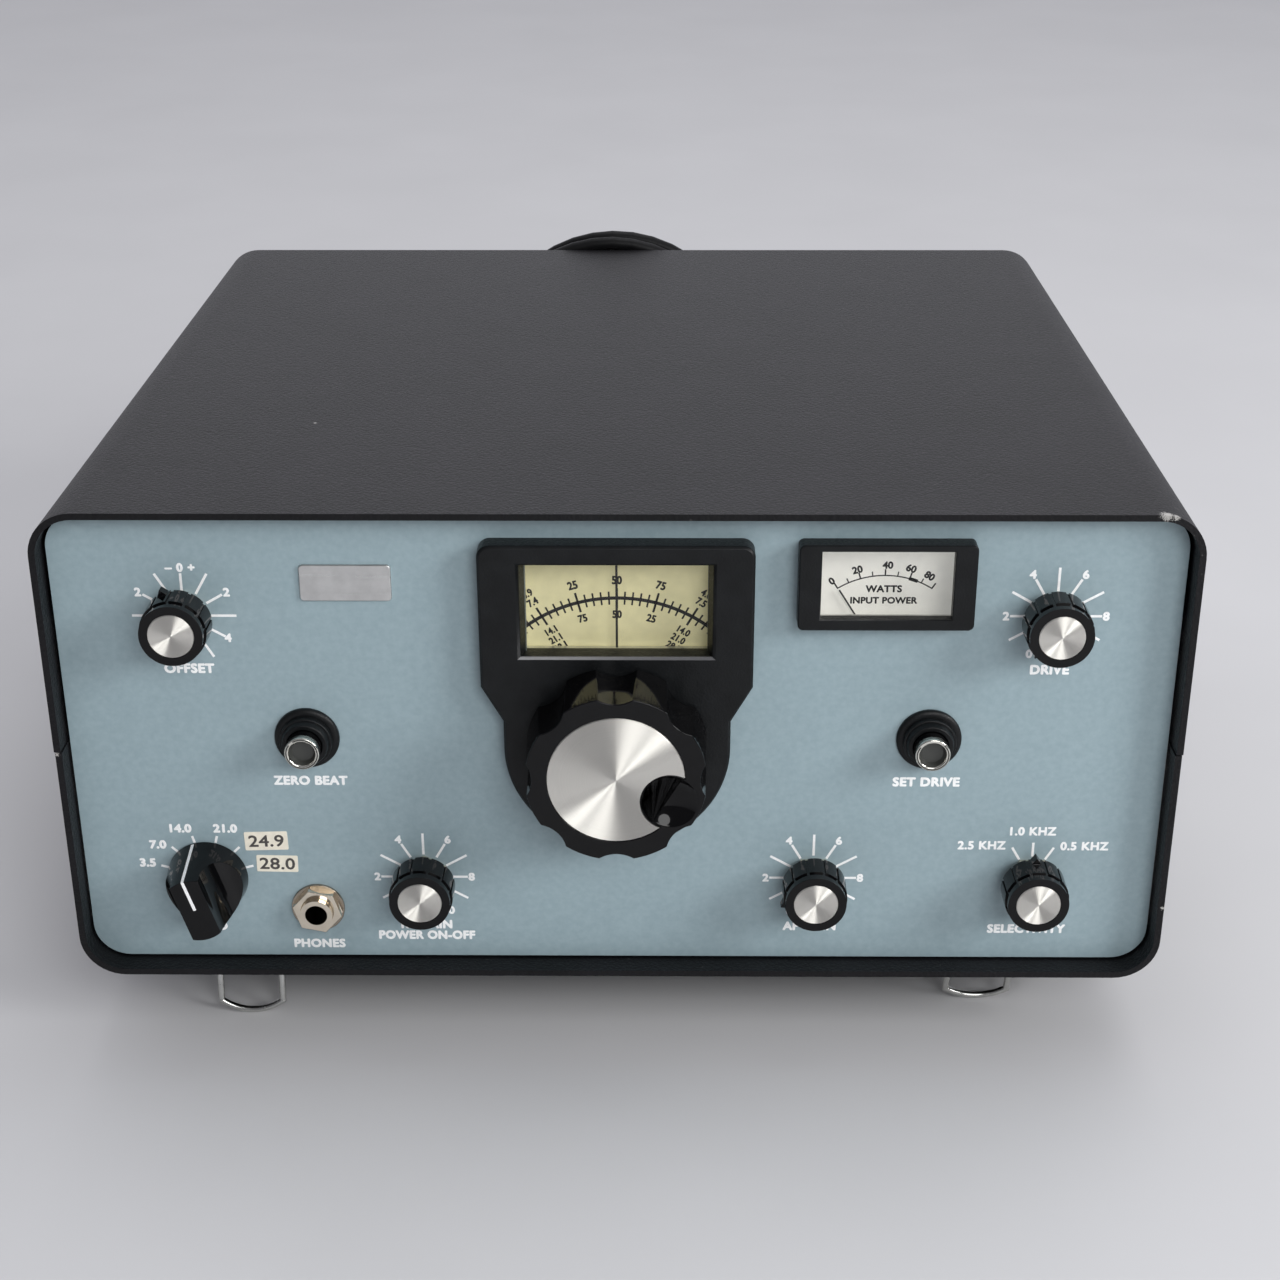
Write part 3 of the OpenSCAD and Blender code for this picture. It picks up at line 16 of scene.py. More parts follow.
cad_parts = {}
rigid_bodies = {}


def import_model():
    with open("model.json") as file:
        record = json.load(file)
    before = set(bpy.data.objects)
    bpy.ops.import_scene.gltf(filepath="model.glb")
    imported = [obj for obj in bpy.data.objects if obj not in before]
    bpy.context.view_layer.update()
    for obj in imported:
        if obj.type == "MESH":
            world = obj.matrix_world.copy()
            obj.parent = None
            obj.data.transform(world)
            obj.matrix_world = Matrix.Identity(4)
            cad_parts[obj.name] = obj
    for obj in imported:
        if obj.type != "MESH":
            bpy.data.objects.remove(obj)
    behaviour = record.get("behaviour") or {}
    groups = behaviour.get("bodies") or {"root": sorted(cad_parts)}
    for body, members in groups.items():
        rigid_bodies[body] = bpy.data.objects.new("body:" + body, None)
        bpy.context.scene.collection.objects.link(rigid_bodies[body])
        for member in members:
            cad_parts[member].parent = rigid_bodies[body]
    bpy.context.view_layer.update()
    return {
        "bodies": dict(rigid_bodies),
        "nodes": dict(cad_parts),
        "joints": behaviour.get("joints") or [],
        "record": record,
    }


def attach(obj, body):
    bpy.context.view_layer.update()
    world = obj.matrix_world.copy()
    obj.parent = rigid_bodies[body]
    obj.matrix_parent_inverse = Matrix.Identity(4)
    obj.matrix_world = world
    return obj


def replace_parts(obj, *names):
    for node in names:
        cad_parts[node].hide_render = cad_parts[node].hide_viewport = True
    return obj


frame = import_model()
scene = bpy.context.scene
mm = 0.001
slot_of = {part["node"]: part["material_slot"] for part in frame["record"]["subparts"]}
body_of = {node: body for body, empty in frame["bodies"].items()
           for node, thing in frame["nodes"].items() if thing.parent is empty}
joint = {j["name"]: j for j in frame["joints"]}

# %% [markdown]
# The cabinet stands nose-up on two wire bails, so its own axes are turned a few degrees from the
# table's. Typing turned numbers by hand would be slow and hard to check. Instead one matrix is worked
# out from the tuning joint, which says where the tuning shaft is and which way it points. A second
# matrix lies on the panel's front face: X to the right, Y up the panel, Z out towards the viewer.

# %% Cabinet and panel axes
panel_recess, tune_z = 7.2 * mm, 75 * mm
rearward = Vector(joint["tuning_turn"]["axis"])
upward = Vector((1, 0, 0)).cross(rearward)
turned = Matrix(((1, 0, 0), rearward, upward)).transposed()
cabinet = (Matrix.Translation(joint["tuning_turn"]["pos_m"]) @ turned.to_4x4()
           @ Matrix.Translation((0, -panel_recess, -tune_z)))
panel = cabinet @ Matrix.Translation((0, panel_recess, 0)) @ Matrix.Rotation(math.pi / 2, 4, "X")


def on_panel(x, z, out=0.0, spin=0.0):
    """A place on the panel in millimetres, turned clockwise by spin degrees."""
    place = panel @ Matrix.Translation((x * mm, z * mm, out * mm))
    return place @ Matrix.Rotation(-math.radians(spin), 4, "Z")


tilt = math.degrees(math.atan2(-rearward.z, rearward.y))
print("the cabinet stands", round(tilt, 2), "degrees nose-up")

# %% [markdown]
# The camera comes next, because everything else is judged through it. Its place was found by matching
# the cabinet's corners and the control axes in the photograph: a little right of the middle, half a
# metre in front, and looking down by about 24 degrees. The lens is given as a focal length in pixels
# of a square frame, which a 36 mm sensor turns into millimetres.

# %% Camera
frame_px, focal_px, sensor_mm = 1280, 2086.8, 36
pitch, yaw, roll = 0.427, 0.0096, 0.002
camera_place = Vector((11.99, -520.4, 345.99)) * mm
view_axes = (Matrix.Rotation(roll, 3, "Z") @ Matrix.Rotation(yaw, 3, "Y") @ Matrix.Rotation(pitch, 3, "X")
             @ Matrix(((1, 0, 0), (0, 0, -1), (0, 1, 0))))
lens_axes = view_axes.transposed() @ Matrix.Diagonal((1, -1, -1))
camera_data = bpy.data.cameras.new("camera")
camera_data.sensor_width = sensor_mm
camera_data.lens = focal_px / frame_px * sensor_mm
camera_data.clip_start = 0.01
camera = bpy.data.objects.new("camera", camera_data)
camera.matrix_world = cabinet @ Matrix.LocRotScale(camera_place, lens_axes, None)
scene.collection.objects.link(camera)
scene.camera = camera
print("camera at", [round(c, 3) for c in camera.matrix_world.translation])
print("lens of", round(camera_data.lens, 1), "mm")

# %% [markdown]
# The mains lead leaves a gland at the rear, drops to the table and is wound into an upright coil that
# leans on the cabinet's rear edge, so that only its crown shows over the top. It could be a mesh tube,
# but a curve with a round bevel keeps its centre line, which is what measures its length. The loops
# come from the coil's rule, and the two free stretches pass smoothly through their chosen points.

# %% Mains lead
cord_d, coil_turns, coil_step, lean = 4.8, 4, 5.6, math.radians(8)
coil_x, coil_out_w, coil_out_h, coil_room = -7, 128, 163, 0.3
coil_half_w, coil_half_h = (coil_out_w - cord_d) / 2, (coil_out_h - cord_d) / 2
coil_up = Vector((0, -math.sin(lean), math.cos(lean)))
coil_back = Vector((0, math.cos(lean), math.sin(lean)))
cabinet_depth, cabinet_h = 289, 146
rear_edge = cabinet @ Vector((0, cabinet_depth * mm, cabinet_h * mm)) / mm
coil_z = coil_half_h * math.cos(lean) + cord_d / 2
coil_y = rear_edge.y + (cord_d / 2 + coil_room) / math.cos(lean) + (rear_edge.z - coil_z) * math.tan(lean)


def coil_point(t):
    climb = min(max((t - coil_turns / 2) * 2 + 0.5, 0), 1)
    inward = coil_step * min(t, coil_turns - t)
    a = -math.pi / 2 - math.tau * t
    return (Vector((coil_x, coil_y, coil_z)) + coil_step * climb * coil_back
            + (coil_half_w - inward) * math.cos(a) * Vector((1, 0, 0))
            + (coil_half_h - inward) * math.sin(a) * coil_up)


def smooth_run(points, steps=6):
    """Points on a smooth curve through the given ones."""
    run = []
    for i in range(len(points) - 1):
        a, b, c, d = (points[min(max(i + k, 0), len(points) - 1)] for k in (-1, 0, 1, 2))
        for s in range(steps):
            t = s / steps
            run.append(0.5 * (2 * b + (c - a) * t + (2 * a - 5 * b + 4 * c - d) * t ** 2
                              + (3 * b - a - 3 * c + d) * t ** 3))
    return run + [points[-1]]


along = Vector((cord_d, 0, 0))
gland_end = cabinet @ Vector((78 * mm, 303 * mm, 24 * mm)) / mm
coil_in, coil_out = coil_point(0) + along, coil_point(coil_turns) - along
plug_end = Vector((-78, 196, 7))
lead = [gland_end, gland_end + cord_d * rearward] + [Vector(p) for p in (
    (78, 171, 30), (77.8, 180.6, 27.4), (76.4, 189.2, 22.4), (72.6, 195.6, 15.8), (65.8, 198.8, 9.4),
    (56.8, 198.6, 4.8), (47, 195.4, 2.7), (37, 190.6, 2.4), (27.4, 185, 2.4), (18, 179.6, 2.4),
    (10, 175.6, 2.4))] + [coil_in + along, coil_in]
tail = [coil_out, coil_out - along] + [Vector(p) for p in (
    (-27, 180.2, 2.7), (-37, 182.6, 2.4), (-46, 186.2, 2.4), (-54, 190.2, 3), (-63, 194.2, 4.9))]
tail += [plug_end + along, plug_end]
loop_steps = 48
loops = [coil_point(i / loop_steps) for i in range(loop_steps * coil_turns + 1)]
route = [p * mm for p in smooth_run(lead) + loops + smooth_run(tail)]
lead_curve = bpy.data.curves.new("mains_lead", "CURVE")
lead_curve.dimensions = "3D"
lead_curve.bevel_depth = cord_d / 2 * mm
lead_curve.bevel_resolution = 5
lead_curve.use_fill_caps = True
spline = lead_curve.splines.new("POLY")
spline.points.add(len(route) - 1)
for point, place in zip(spline.points, route):
    point.co = (*place, 1)
spline.use_smooth = True
drawn = bpy.data.objects.new("mains_lead", lead_curve)
scene.collection.objects.link(drawn)
lead_mesh = bpy.data.meshes.new_from_object(drawn.evaluated_get(bpy.context.evaluated_depsgraph_get()))
bpy.data.objects.remove(drawn)

# %% [markdown]
# The stage is a pale floor under plain soft light. One large lamp hangs overhead, one stands in front
# and a third to the right, where the photograph's light comes from. Small lamps would give hard shadows
# and needle-sharp glints, so all are wide. A faint sky fills the shadows. It is brighter behind the
# object than in front, so that black vinyl gets its sheen and bright metal has something dark to
# mirror as well. The levels are set so that a colour shows about as it is written.

# %% Stage and lamps
scene.view_settings.view_transform = "Standard"


def lamp(name, place, target, size, power):
    data = bpy.data.lights.new(name, "AREA")
    data.shape, data.size, data.energy = "DISK", size, power
    thing = bpy.data.objects.new(name, data)
    way = Vector(target) - Vector(place)
    thing.matrix_world = Matrix.LocRotScale(Vector(place), way.to_track_quat("-Z", "Y"), None)
    scene.collection.objects.link(thing)


lamp("top_lamp", (0.2, 0.55, 1.9), (0, 0.1, 0.1), 1.4, 11)
lamp("front_lamp", (0.55, -1.65, 1.1), (0, -0.1, 0.08), 1.0, 15)
lamp("right_lamp", (1.5, -0.85, 0.9), (0, -0.1, 0.08), 0.7, 20)
sky = bpy.data.worlds.new("sky")
sky.use_nodes = True
sky_nodes, sky_links = sky.node_tree.nodes, sky.node_tree.links
way_out, backward = sky_nodes.new("ShaderNodeTexCoord"), sky_nodes.new("ShaderNodeVectorMath")
backward.operation = "DOT_PRODUCT"
backward.inputs[1].default_value = (0, 0.8, 0.6)
fade = sky_nodes.new("ShaderNodeValToRGB")
for stop, place, level in zip(fade.color_ramp.elements, (0.0, 0.9), (0.18, 0.9)):
    stop.position, stop.color = place, (0.93 * level, 0.93 * level, level, 1)
sky_links.new(way_out.outputs["Generated"], backward.inputs[0])
sky_links.new(backward.outputs["Value"], fade.inputs["Fac"])
sky_links.new(fade.outputs["Color"], sky_nodes["Background"].inputs["Color"])
scene.world = sky
floor_mesh = bpy.data.meshes.new("floor")
floor_mesh.from_pydata([(-4, -3, 0), (4, -3, 0), (4, 5, 0), (-4, 5, 0)], [], [(0, 1, 2, 3)])
floor = bpy.data.objects.new("floor", floor_mesh)
scene.collection.objects.link(floor)

# %% [markdown]
# A finish is a shader whose colour, gloss and relief are driven by patterns. Each pattern reads Object
# coordinates, so a scale of 1000 is about one feature to the millimetre. A few small helpers keep the
# node trees readable: one makes the shader, one adds a node, one makes noise, and three send a pattern
# to the colour, the roughness or the bump.

# %% Finish helpers
FINISH = {}


def finish(name, colour, roughness, metallic=0.0, **sockets):
    made = bpy.data.materials.new(name)
    made.use_nodes = True
    shader = made.node_tree.nodes["Principled BSDF"]
    shader.inputs["Base Color"].default_value = (*colour, 1)
    shader.inputs["Roughness"].default_value = roughness
    shader.inputs["Metallic"].default_value = metallic
    for socket, value in sockets.items():
        shader.inputs[socket.replace("_", " ")].default_value = value
    FINISH[name] = made
    return made


def add(made, kind, **values):
    node = made.node_tree.nodes.new("ShaderNode" + kind)
    for key, value in values.items():
        if key in node.bl_rna.properties:
            setattr(node, key, value)
        else:
            node.inputs[key.replace("_", " ")].default_value = value
    return node


def wire(made, source, target):
    made.node_tree.links.new(source, target)


def spot(made, stretch=(1, 1, 1), turn=(0, 0, 0)):
    mapping = add(made, "Mapping", Scale=stretch, Rotation=turn)
    wire(made, add(made, "TexCoord").outputs["Object"], mapping.inputs["Vector"])
    return mapping.outputs["Vector"]


def noise(made, scale, detail=2.0, where=None):
    node = add(made, "TexNoise", Scale=scale, Detail=detail)
    wire(made, where or spot(made), node.inputs["Vector"])
    return node.outputs[0]


def math_of(made, operation, a, b):
    node = add(made, "Math", operation=operation)
    for socket, value in zip(node.inputs, (a, b)):
        if isinstance(value, (int, float)):
            socket.default_value = value
        else:
            wire(made, value, socket)
    return node.outputs[0]


def between(made, fac, low, high, start=0.3, end=0.7):
    node = add(made, "MapRange")
    for key, value in (("From Min", start), ("From Max", end), ("To Min", low), ("To Max", high)):
        node.inputs[key].default_value = value
    wire(made, fac, node.inputs["Value"])
    return node.outputs[0]


def tint(made, fac, dark, light, start=0.3, end=0.7):
    ramp = add(made, "ValToRGB")
    for stop, place, colour in zip(ramp.color_ramp.elements, (start, end), (dark, light)):
        stop.position, stop.color = place, (*colour, 1)
    wire(made, fac, ramp.inputs["Fac"])
    wire(made, ramp.outputs["Color"], made.node_tree.nodes["Principled BSDF"].inputs["Base Color"])
    return ramp.outputs["Color"]


def gloss(made, fac, low, high):
    wire(made, between(made, fac, low, high), made.node_tree.nodes["Principled BSDF"].inputs["Roughness"])


def relief(made, fac, strength, depth):
    node = add(made, "Bump", Strength=strength, Distance=depth)
    wire(made, fac, node.inputs["Height"])
    wire(made, node.outputs["Normal"], made.node_tree.nodes["Principled BSDF"].inputs["Normal"])


def mix_in(made, fac, base, colour):
    """Lays a flat colour over the base where fac is one."""
    node = add(made, "Mix", data_type="RGBA")
    wire(made, fac, node.inputs["Factor"])
    wire(made, base, node.inputs["A"])
    node.inputs["B"].default_value = (*colour, 1)
    wire(made, node.outputs["Result"], made.node_tree.nodes["Principled BSDF"].inputs["Base Color"])
    return node.outputs["Result"]


print("finish helpers ready")

# %% [markdown]
# The cabinet's vinyl has a pebble grain about a millimetre wide, pressed into a satin black skin, and
# it is chipped at the corners where the metal shows. Voronoi cells make the pebbles and fine noise
# breaks up their sheen. The chips are small noisy spots at chosen places, and a sparse speckle stands
# for the dust that sits in the grain. A Mapping node turns the pattern's coordinates back into the
# cabinet's own, so that a chip's place can be read off it.

# %% Vinyl
vinyl = finish("grained_vinyl", (0.005, 0.005, 0.0055), 0.5, Specular_IOR_Level=0.24)
pebbles = add(vinyl, "TexVoronoi", feature="SMOOTH_F1", Scale=1000.0, Smoothness=0.35)
wire(vinyl, spot(vinyl), pebbles.inputs["Vector"])
fine = noise(vinyl, 3200, 2)
relief(vinyl, math_of(vinyl, "ADD", math_of(vinyl, "MULTIPLY", pebbles.outputs["Distance"], -1.0),
                      math_of(vinyl, "MULTIPLY", fine, 0.5)), 0.7, 0.00025)
gloss(vinyl, fine, 0.36, 0.56)
skin = tint(vinyl, noise(vinyl, 45, 4), (0.0025, 0.0025, 0.0032), (0.0055, 0.0052, 0.0066))
dust = between(vinyl, noise(vinyl, 700, 1), 0.0, 0.12, 0.74, 0.82)
to_cabinet = cabinet.inverted()
own_axes = add(vinyl, "Mapping", Location=to_cabinet.translation, Rotation=to_cabinet.to_euler())
wire(vinyl, add(vinyl, "TexCoord").outputs["Object"], own_axes.inputs["Vector"])
chips = dust
chip_spots = ((147.0, 0.6, 145.8, 2.2), (149.5, 0.5, 145.3, 1.3), (157.6, 0.4, 134.4, 0.5),
              (-157.9, 0.3, 73.4, 0.8), (158.0, 0.3, 24.1, 0.8), (-91.7, 76.0, 146.0, 0.7))
for x, y, z, r in chip_spots:
    reach = add(vinyl, "VectorMath", operation="DISTANCE")
    reach.inputs[1].default_value = Vector((x, y, z)) * mm
    wire(vinyl, own_axes.outputs["Vector"], reach.inputs[0])
    ragged = math_of(vinyl, "ADD", reach.outputs["Value"], math_of(vinyl, "MULTIPLY", fine, 2.4 * r * mm))
    chip = between(vinyl, ragged, 1.0, 0.0, 1.75 * r * mm, 2.0 * r * mm)
    chips = math_of(vinyl, "MAXIMUM", chips, chip)
mix_in(vinyl, chips, skin, (0.4, 0.39, 0.37))
print("vinyl with pebbles, dust and", len(chip_spots), "chips")

# %% [markdown]
# The panel is sheet metal in a satin blue-grey enamel with the faint orange-peel of sprayed paint. The
# black mouldings come in two kinds: a dull, finely spark-eroded one for the escutcheon, meter frame
# and button collars, and a polished one for the knobs, whose gloss is only broken by handling.

# %% Paint and mouldings
paint = finish("panel_paint", (0.29, 0.385, 0.42), 0.42)
tint(paint, noise(paint, 520, 6), (0.272, 0.364, 0.4), (0.312, 0.41, 0.444))
gloss(paint, noise(paint, 900, 3), 0.36, 0.5)
relief(paint, noise(paint, 1500, 3), 0.22, 0.00006)

moulding = finish("black_plastic", (0.004, 0.0045, 0.005), 0.4, Specular_IOR_Level=0.25)
tint(moulding, noise(moulding, 160, 5), (0.0025, 0.003, 0.0035), (0.006, 0.007, 0.0078))
gloss(moulding, noise(moulding, 1400, 2), 0.34, 0.48)
relief(moulding, noise(moulding, 1500, 4), 0.8, 0.00012)

knob_gloss = finish("knob_plastic", (0.002, 0.002, 0.0024), 0.1, Specular_IOR_Level=0.24)
tint(knob_gloss, noise(knob_gloss, 220, 5), (0.0015, 0.0015, 0.0018), (0.003, 0.003, 0.0034))
gloss(knob_gloss, noise(knob_gloss, 700, 4), 0.04, 0.1)
relief(knob_gloss, noise(knob_gloss, 1800, 3), 0.08, 0.00003)

rubber = finish("foot_rubber", (0.016, 0.016, 0.016), 0.75)
tint(rubber, noise(rubber, 500, 4), (0.012, 0.012, 0.012), (0.03, 0.029, 0.028))
relief(rubber, noise(rubber, 2400, 3), 0.4, 0.00008)

anodised = finish("anodised_black", (0.02, 0.02, 0.021), 0.38, 0.35)
drawn_lines = noise(anodised, 900, 3, spot(anodised, (1, 1, 0.05)))
tint(anodised, drawn_lines, (0.015, 0.015, 0.016), (0.034, 0.034, 0.036))
gloss(anodised, noise(anodised, 1200, 2), 0.32, 0.48)
relief(anodised, noise(anodised, 2200, 2), 0.12, 0.00003)

sheath = finish("cord_black", (0.004, 0.004, 0.0045), 0.4, Specular_IOR_Level=0.14)
tint(sheath, noise(sheath, 120, 4), (0.003, 0.003, 0.0035), (0.006, 0.006, 0.0065))
gloss(sheath, noise(sheath, 800, 3), 0.4, 0.56)
relief(sheath, noise(sheath, 2600, 2), 0.2, 0.00005)

tie_rubber = finish("tie_black", (0.03, 0.03, 0.03), 0.6)
tint(tie_rubber, noise(tie_rubber, 700, 3), (0.022, 0.022, 0.022), (0.045, 0.045, 0.045))
relief(tie_rubber, noise(tie_rubber, 2400, 2), 0.3, 0.00006)
print(len(FINISH), "finishes")

# %% [markdown]
# Bright metal gets its look from what it mirrors, so its colour stays plain and the detail goes into
# the roughness: rolled sheet, plated steel, chrome and warm nickel. The knob faces are spun: their
# fine grooves run in circles, which stretches every highlight along the radius into bright wedges.
# That is anisotropy, and it needs to know the radius at each point, so those faces carry their own
# map with the radius along U and the angle along V.

# %% Metals
for name, colour, low, high, grain in (
        ("plain_aluminium", (0.66, 0.66, 0.64), 0.34, 0.5, (1, 0.03, 1)),
        ("plated_steel", (0.6, 0.6, 0.58), 0.14, 0.28, (1, 1, 1)),
        ("button_chrome", (0.7, 0.69, 0.63), 0.08, 0.16, (1, 1, 1)),
        ("nickel_brass", (0.76, 0.68, 0.56), 0.07, 0.16, (1, 1, 1)),
        ("washer_painted_shade", (0.36, 0.31, 0.25), 0.1, 0.22, (1, 1, 1)),
        ("core_iron", (0.2, 0.19, 0.18), 0.45, 0.6, (0.05, 1, 1)),
        ("badge_brushed", (0.62, 0.62, 0.61), 0.26, 0.42, (0.02, 1, 1))):
    metal = finish(name, colour, low, 1.0)
    streaks = noise(metal, 1600, 3, spot(metal, grain))
    gloss(metal, streaks, low, high)
    tint(metal, noise(metal, 260, 4), [0.9 * c for c in colour], [1.06 * c for c in colour])
    relief(metal, streaks, 0.06, 0.00003)

spun = finish("spun_aluminium", (0.8, 0.79, 0.76), 0.5, 1.0, Anisotropic=1.0)
polar = add(spun, "UVMap", uv_map="spun")
grooves = add(spun, "Mapping", Scale=(420, 0.15, 1))
wire(spun, polar.outputs["UV"], grooves.inputs["Vector"])
turning = noise(spun, 1.0, 4, grooves.outputs["Vector"])
gloss(spun, turning, 0.46, 0.58)
tint(spun, turning, (0.86, 0.84, 0.78), (0.98, 0.96, 0.9))
radius_way = add(spun, "Tangent", direction_type="UV_MAP", uv_map="spun")
wire(spun, radius_way.outputs["Tangent"], spun.node_tree.nodes["Principled BSDF"].inputs["Tangent"])
print("metals, with", list(FINISH)[-1], "last")

# %% [markdown]
# The dial disc is cream plastic and the meter plate is off-white card, both faintly mottled by age.
# Print is a thin layer of ink that stands just proud of its ground. The clear panes only need a little
# gloss over what they cover, so they are nearly see-through and let the light reach the scales. Both
# scales also get a faint glow of their own: painted light that keeps them bright inside their shaded
# recesses, though they are no lamps.

# %% Scales, ink and panes
for name, colour, rough, scale in (
        ("dial_cream", (0.82, 0.76, 0.44), 0.42, 300), ("scale_white", (0.86, 0.84, 0.76), 0.5, 300),
        ("ink_white", (0.96, 0.97, 0.97), 0.5, 900), ("ink_black", (0.018, 0.017, 0.016), 0.5, 900),
        ("ink_grey", (0.07, 0.065, 0.06), 0.6, 900), ("label_paper", (0.88, 0.83, 0.7), 0.65, 700),
        ("needle_black", (0.02, 0.02, 0.02), 0.4, 500), ("painted_highlight_edge", (0.12, 0.12, 0.125), 0.35, 900),
        ("hollow_painted_shade", (0.045, 0.047, 0.043), 0.4, 500), ("board_green", (0.05, 0.16, 0.06), 0.4, 300),
        ("switch_phenolic", (0.3, 0.17, 0.06), 0.5, 400), ("speaker_frame", (0.05, 0.05, 0.05), 0.6, 500)):
    flat = finish(name, colour, rough)
    tint(flat, noise(flat, scale, 5), [0.94 * c for c in colour], [1.04 * c for c in colour])
    gloss(flat, noise(flat, 3 * scale, 2), rough - 0.06, rough + 0.08)
    relief(flat, noise(flat, 2600, 2), 0.08, 0.00003)

# Painted light: a faint glow keeps both scales bright inside their shaded recesses.
for name, painted_glow, level in (("dial_cream", (0.88, 0.83, 0.46), 0.12), ("scale_white", (0.9, 0.9, 0.85), 0.34)):
    painted_glow_sockets = FINISH[name].node_tree.nodes["Principled BSDF"].inputs
    painted_glow_sockets["Emission Color"].default_value, painted_glow_sockets["Emission Strength"].default_value = (*painted_glow, 1), level
pane = finish("clear_plastic", (0.03, 0.032, 0.032), 0.05, Alpha=0.07, Specular_IOR_Level=1.0)
gloss(pane, noise(pane, 400, 4), 0.03, 0.09)
ground = finish("floor_pale", (0.54, 0.54, 0.55), 0.7)
tint(ground, noise(ground, 9, 3), (0.53, 0.53, 0.54), (0.55, 0.55, 0.56))
floor_mesh.materials.append(ground)
look_of = dict(slot_of, badge_plate="badge_brushed")
for node, thing in frame["nodes"].items():
    thing.data.materials.clear()
    thing.data.materials.append(FINISH[look_of[node]])
print(len(FINISH), "finishes in all")

# %% [markdown]
# Machined solids have razor edges, and real mouldings, folded sheet and knobs never do: a rounded edge
# is what catches the light. Each outer solid is copied, its loose triangles are merged and its flat
# faces joined, and the outward edges sharper than 40 degrees are bevelled. A Bevel modifier would round
# the hidden pockets and bores too, where thin walls leave no room, so the edges are chosen here by how
# far they stand out of the panel. Weighted normals keep the flat faces flat beside the round edges. The
# dial's and the meter's frames have a flat chamfer first. A few faces get a second finish: the cut
# edges of the panel are black, painted shade for the dark ledge they show inside the windows; the dial
# window's lower edge gets a pale painted highlight; the push-buttons are black tubes with a bright
# grooved rim and a hollow end darkened with painted shade; the washer of the headphone jack is darkened
# with painted shade below its nut; and the plug's pins are plated.

# %% Rounded edges
def settle(thing):
    """Turns an object with modifiers into a plain mesh."""
    mesh = bpy.data.meshes.new_from_object(thing.evaluated_get(bpy.context.evaluated_depsgraph_get()))
    thing.modifiers.clear()
    thing.data = mesh
    return thing


def smooth_faces(mesh, angle=38):
    mesh.polygons.foreach_set("use_smooth", [True] * len(mesh.polygons))
    mesh.set_sharp_from_angle(angle=math.radians(angle))


def new_piece(name, mesh, body, look):
    mesh.materials.clear()
    mesh.materials.append(FINISH[look])
    thing = bpy.data.objects.new(name, mesh)
    scene.collection.objects.link(thing)
    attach(thing, body)
    return thing


to_panel = panel.inverted()
anywhere = -1000.0
button_x, button_z, hollow_r = 88.2, 75.4, 3.7
tube_out, collar_out, groove_low, groove_high = 8, 8.4, 9.2, 9.5
washer_out, plug_face = 0.82, -122.3
frame_out, window_half, edge_low, edge_high = 5.5, 28, 102, 105


def bevel(shape, width, low, segments, least=40):
    sharp = [e for e in shape.edges
             if e.is_manifold and e.is_convex and e.calc_face_angle() > math.radians(least)
             and all((to_panel @ v.co).z > low * mm for v in e.verts)]
    bmesh.ops.bevel(shape, geom=sharp, offset=width * mm, segments=segments, profile=0.5,
                    affect="EDGES", clamp_overlap=True)


def rounded(node, width=0.0, low=anywhere, segments=2, chamfer=0.0):
    """A copy of a node with its outward edges rounded, from low mm out of the panel."""
    shape = bmesh.new()
    shape.from_mesh(frame["nodes"][node].data)
    bmesh.ops.remove_doubles(shape, verts=shape.verts, dist=1e-6)
    bmesh.ops.dissolve_limit(shape, angle_limit=math.radians(0.4), verts=shape.verts, edges=shape.edges)
    if chamfer:
        bevel(shape, chamfer, low, 1)
    if width:
        bevel(shape, width, low - chamfer, segments, 30 if chamfer else 40)
    mesh = bpy.data.meshes.new(node + "_rounded")
    shape.to_mesh(mesh)
    shape.free()
    smooth_faces(mesh)
    thing = new_piece(node + "_rounded", mesh, body_of[node], look_of[node])
    thing.modifiers.new("flats", "WEIGHTED_NORMAL").keep_sharp = True
    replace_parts(settle(thing), node)
    return thing


def second_look(thing, look, chosen):
    """Gives another finish to the faces whose middle and direction, in the panel's axes, are chosen."""
    thing.data.materials.append(FINISH[look])
    for face in thing.data.polygons:
        if chosen(to_panel @ face.center / mm, to_panel.to_3x3() @ face.normal):
            face.material_index = len(thing.data.materials) - 1


def cut_across(thing, *heights):
    """Cuts a piece's faces at heights out of the panel, so that each band can have its own finish."""
    shape = bmesh.new()
    shape.from_mesh(thing.data)
    outward = panel.to_3x3() @ Vector((0, 0, 1))
    for out in heights:
        bmesh.ops.bisect_plane(shape, geom=shape.verts[:] + shape.edges[:] + shape.faces[:],
                               plane_co=panel @ Vector((0, 0, out * mm)), plane_no=outward)
    shape.to_mesh(thing.data)
    shape.free()


for width, low, nodes in (
        (0.3, anywhere, ("top_cover", "bottom_cover")), (0.9, anywhere, ("rubber_feet",)),
        (0.6, 6.9, ("tuning_knob",)), (0.5, 4.9, ("band_knob",)),
        (0.3, 0.1, ("push_switches", "phones_nut", "badge_plate")),
        (0.3, 8.0, ("left_button", "right_button")),
        (0.2, 4.0, ("offset_knob", "drive_knob", "rf_gain_knob", "af_gain_knob", "selectivity_knob")),
        (0.3, anywhere, ("bail_brackets", "heat_sink", "antenna_socket", "key_jack", "fuse_holder",
                         "cover_screws", "cord_gland", "cord_tie")),
        (1.4, anywhere, ("power_plug",))):
    for node in nodes:
        made = rounded(node, width, low, 3 if width > 0.5 else 2)
        print(made.name, len(made.data.polygons), "faces")
# Painted highlight: the lower edge of the dial window is made pale.
second_look(rounded("dial_escutcheon", 0.15, 6.3, 2, 0.8), "painted_highlight_edge",
            lambda at, way: at.z > frame_out and way.y > 0.3 and abs(at.x) < window_half
            and edge_low < at.y < edge_high)
rounded("meter_bezel", 0.15, 5.3, 2, 0.7)
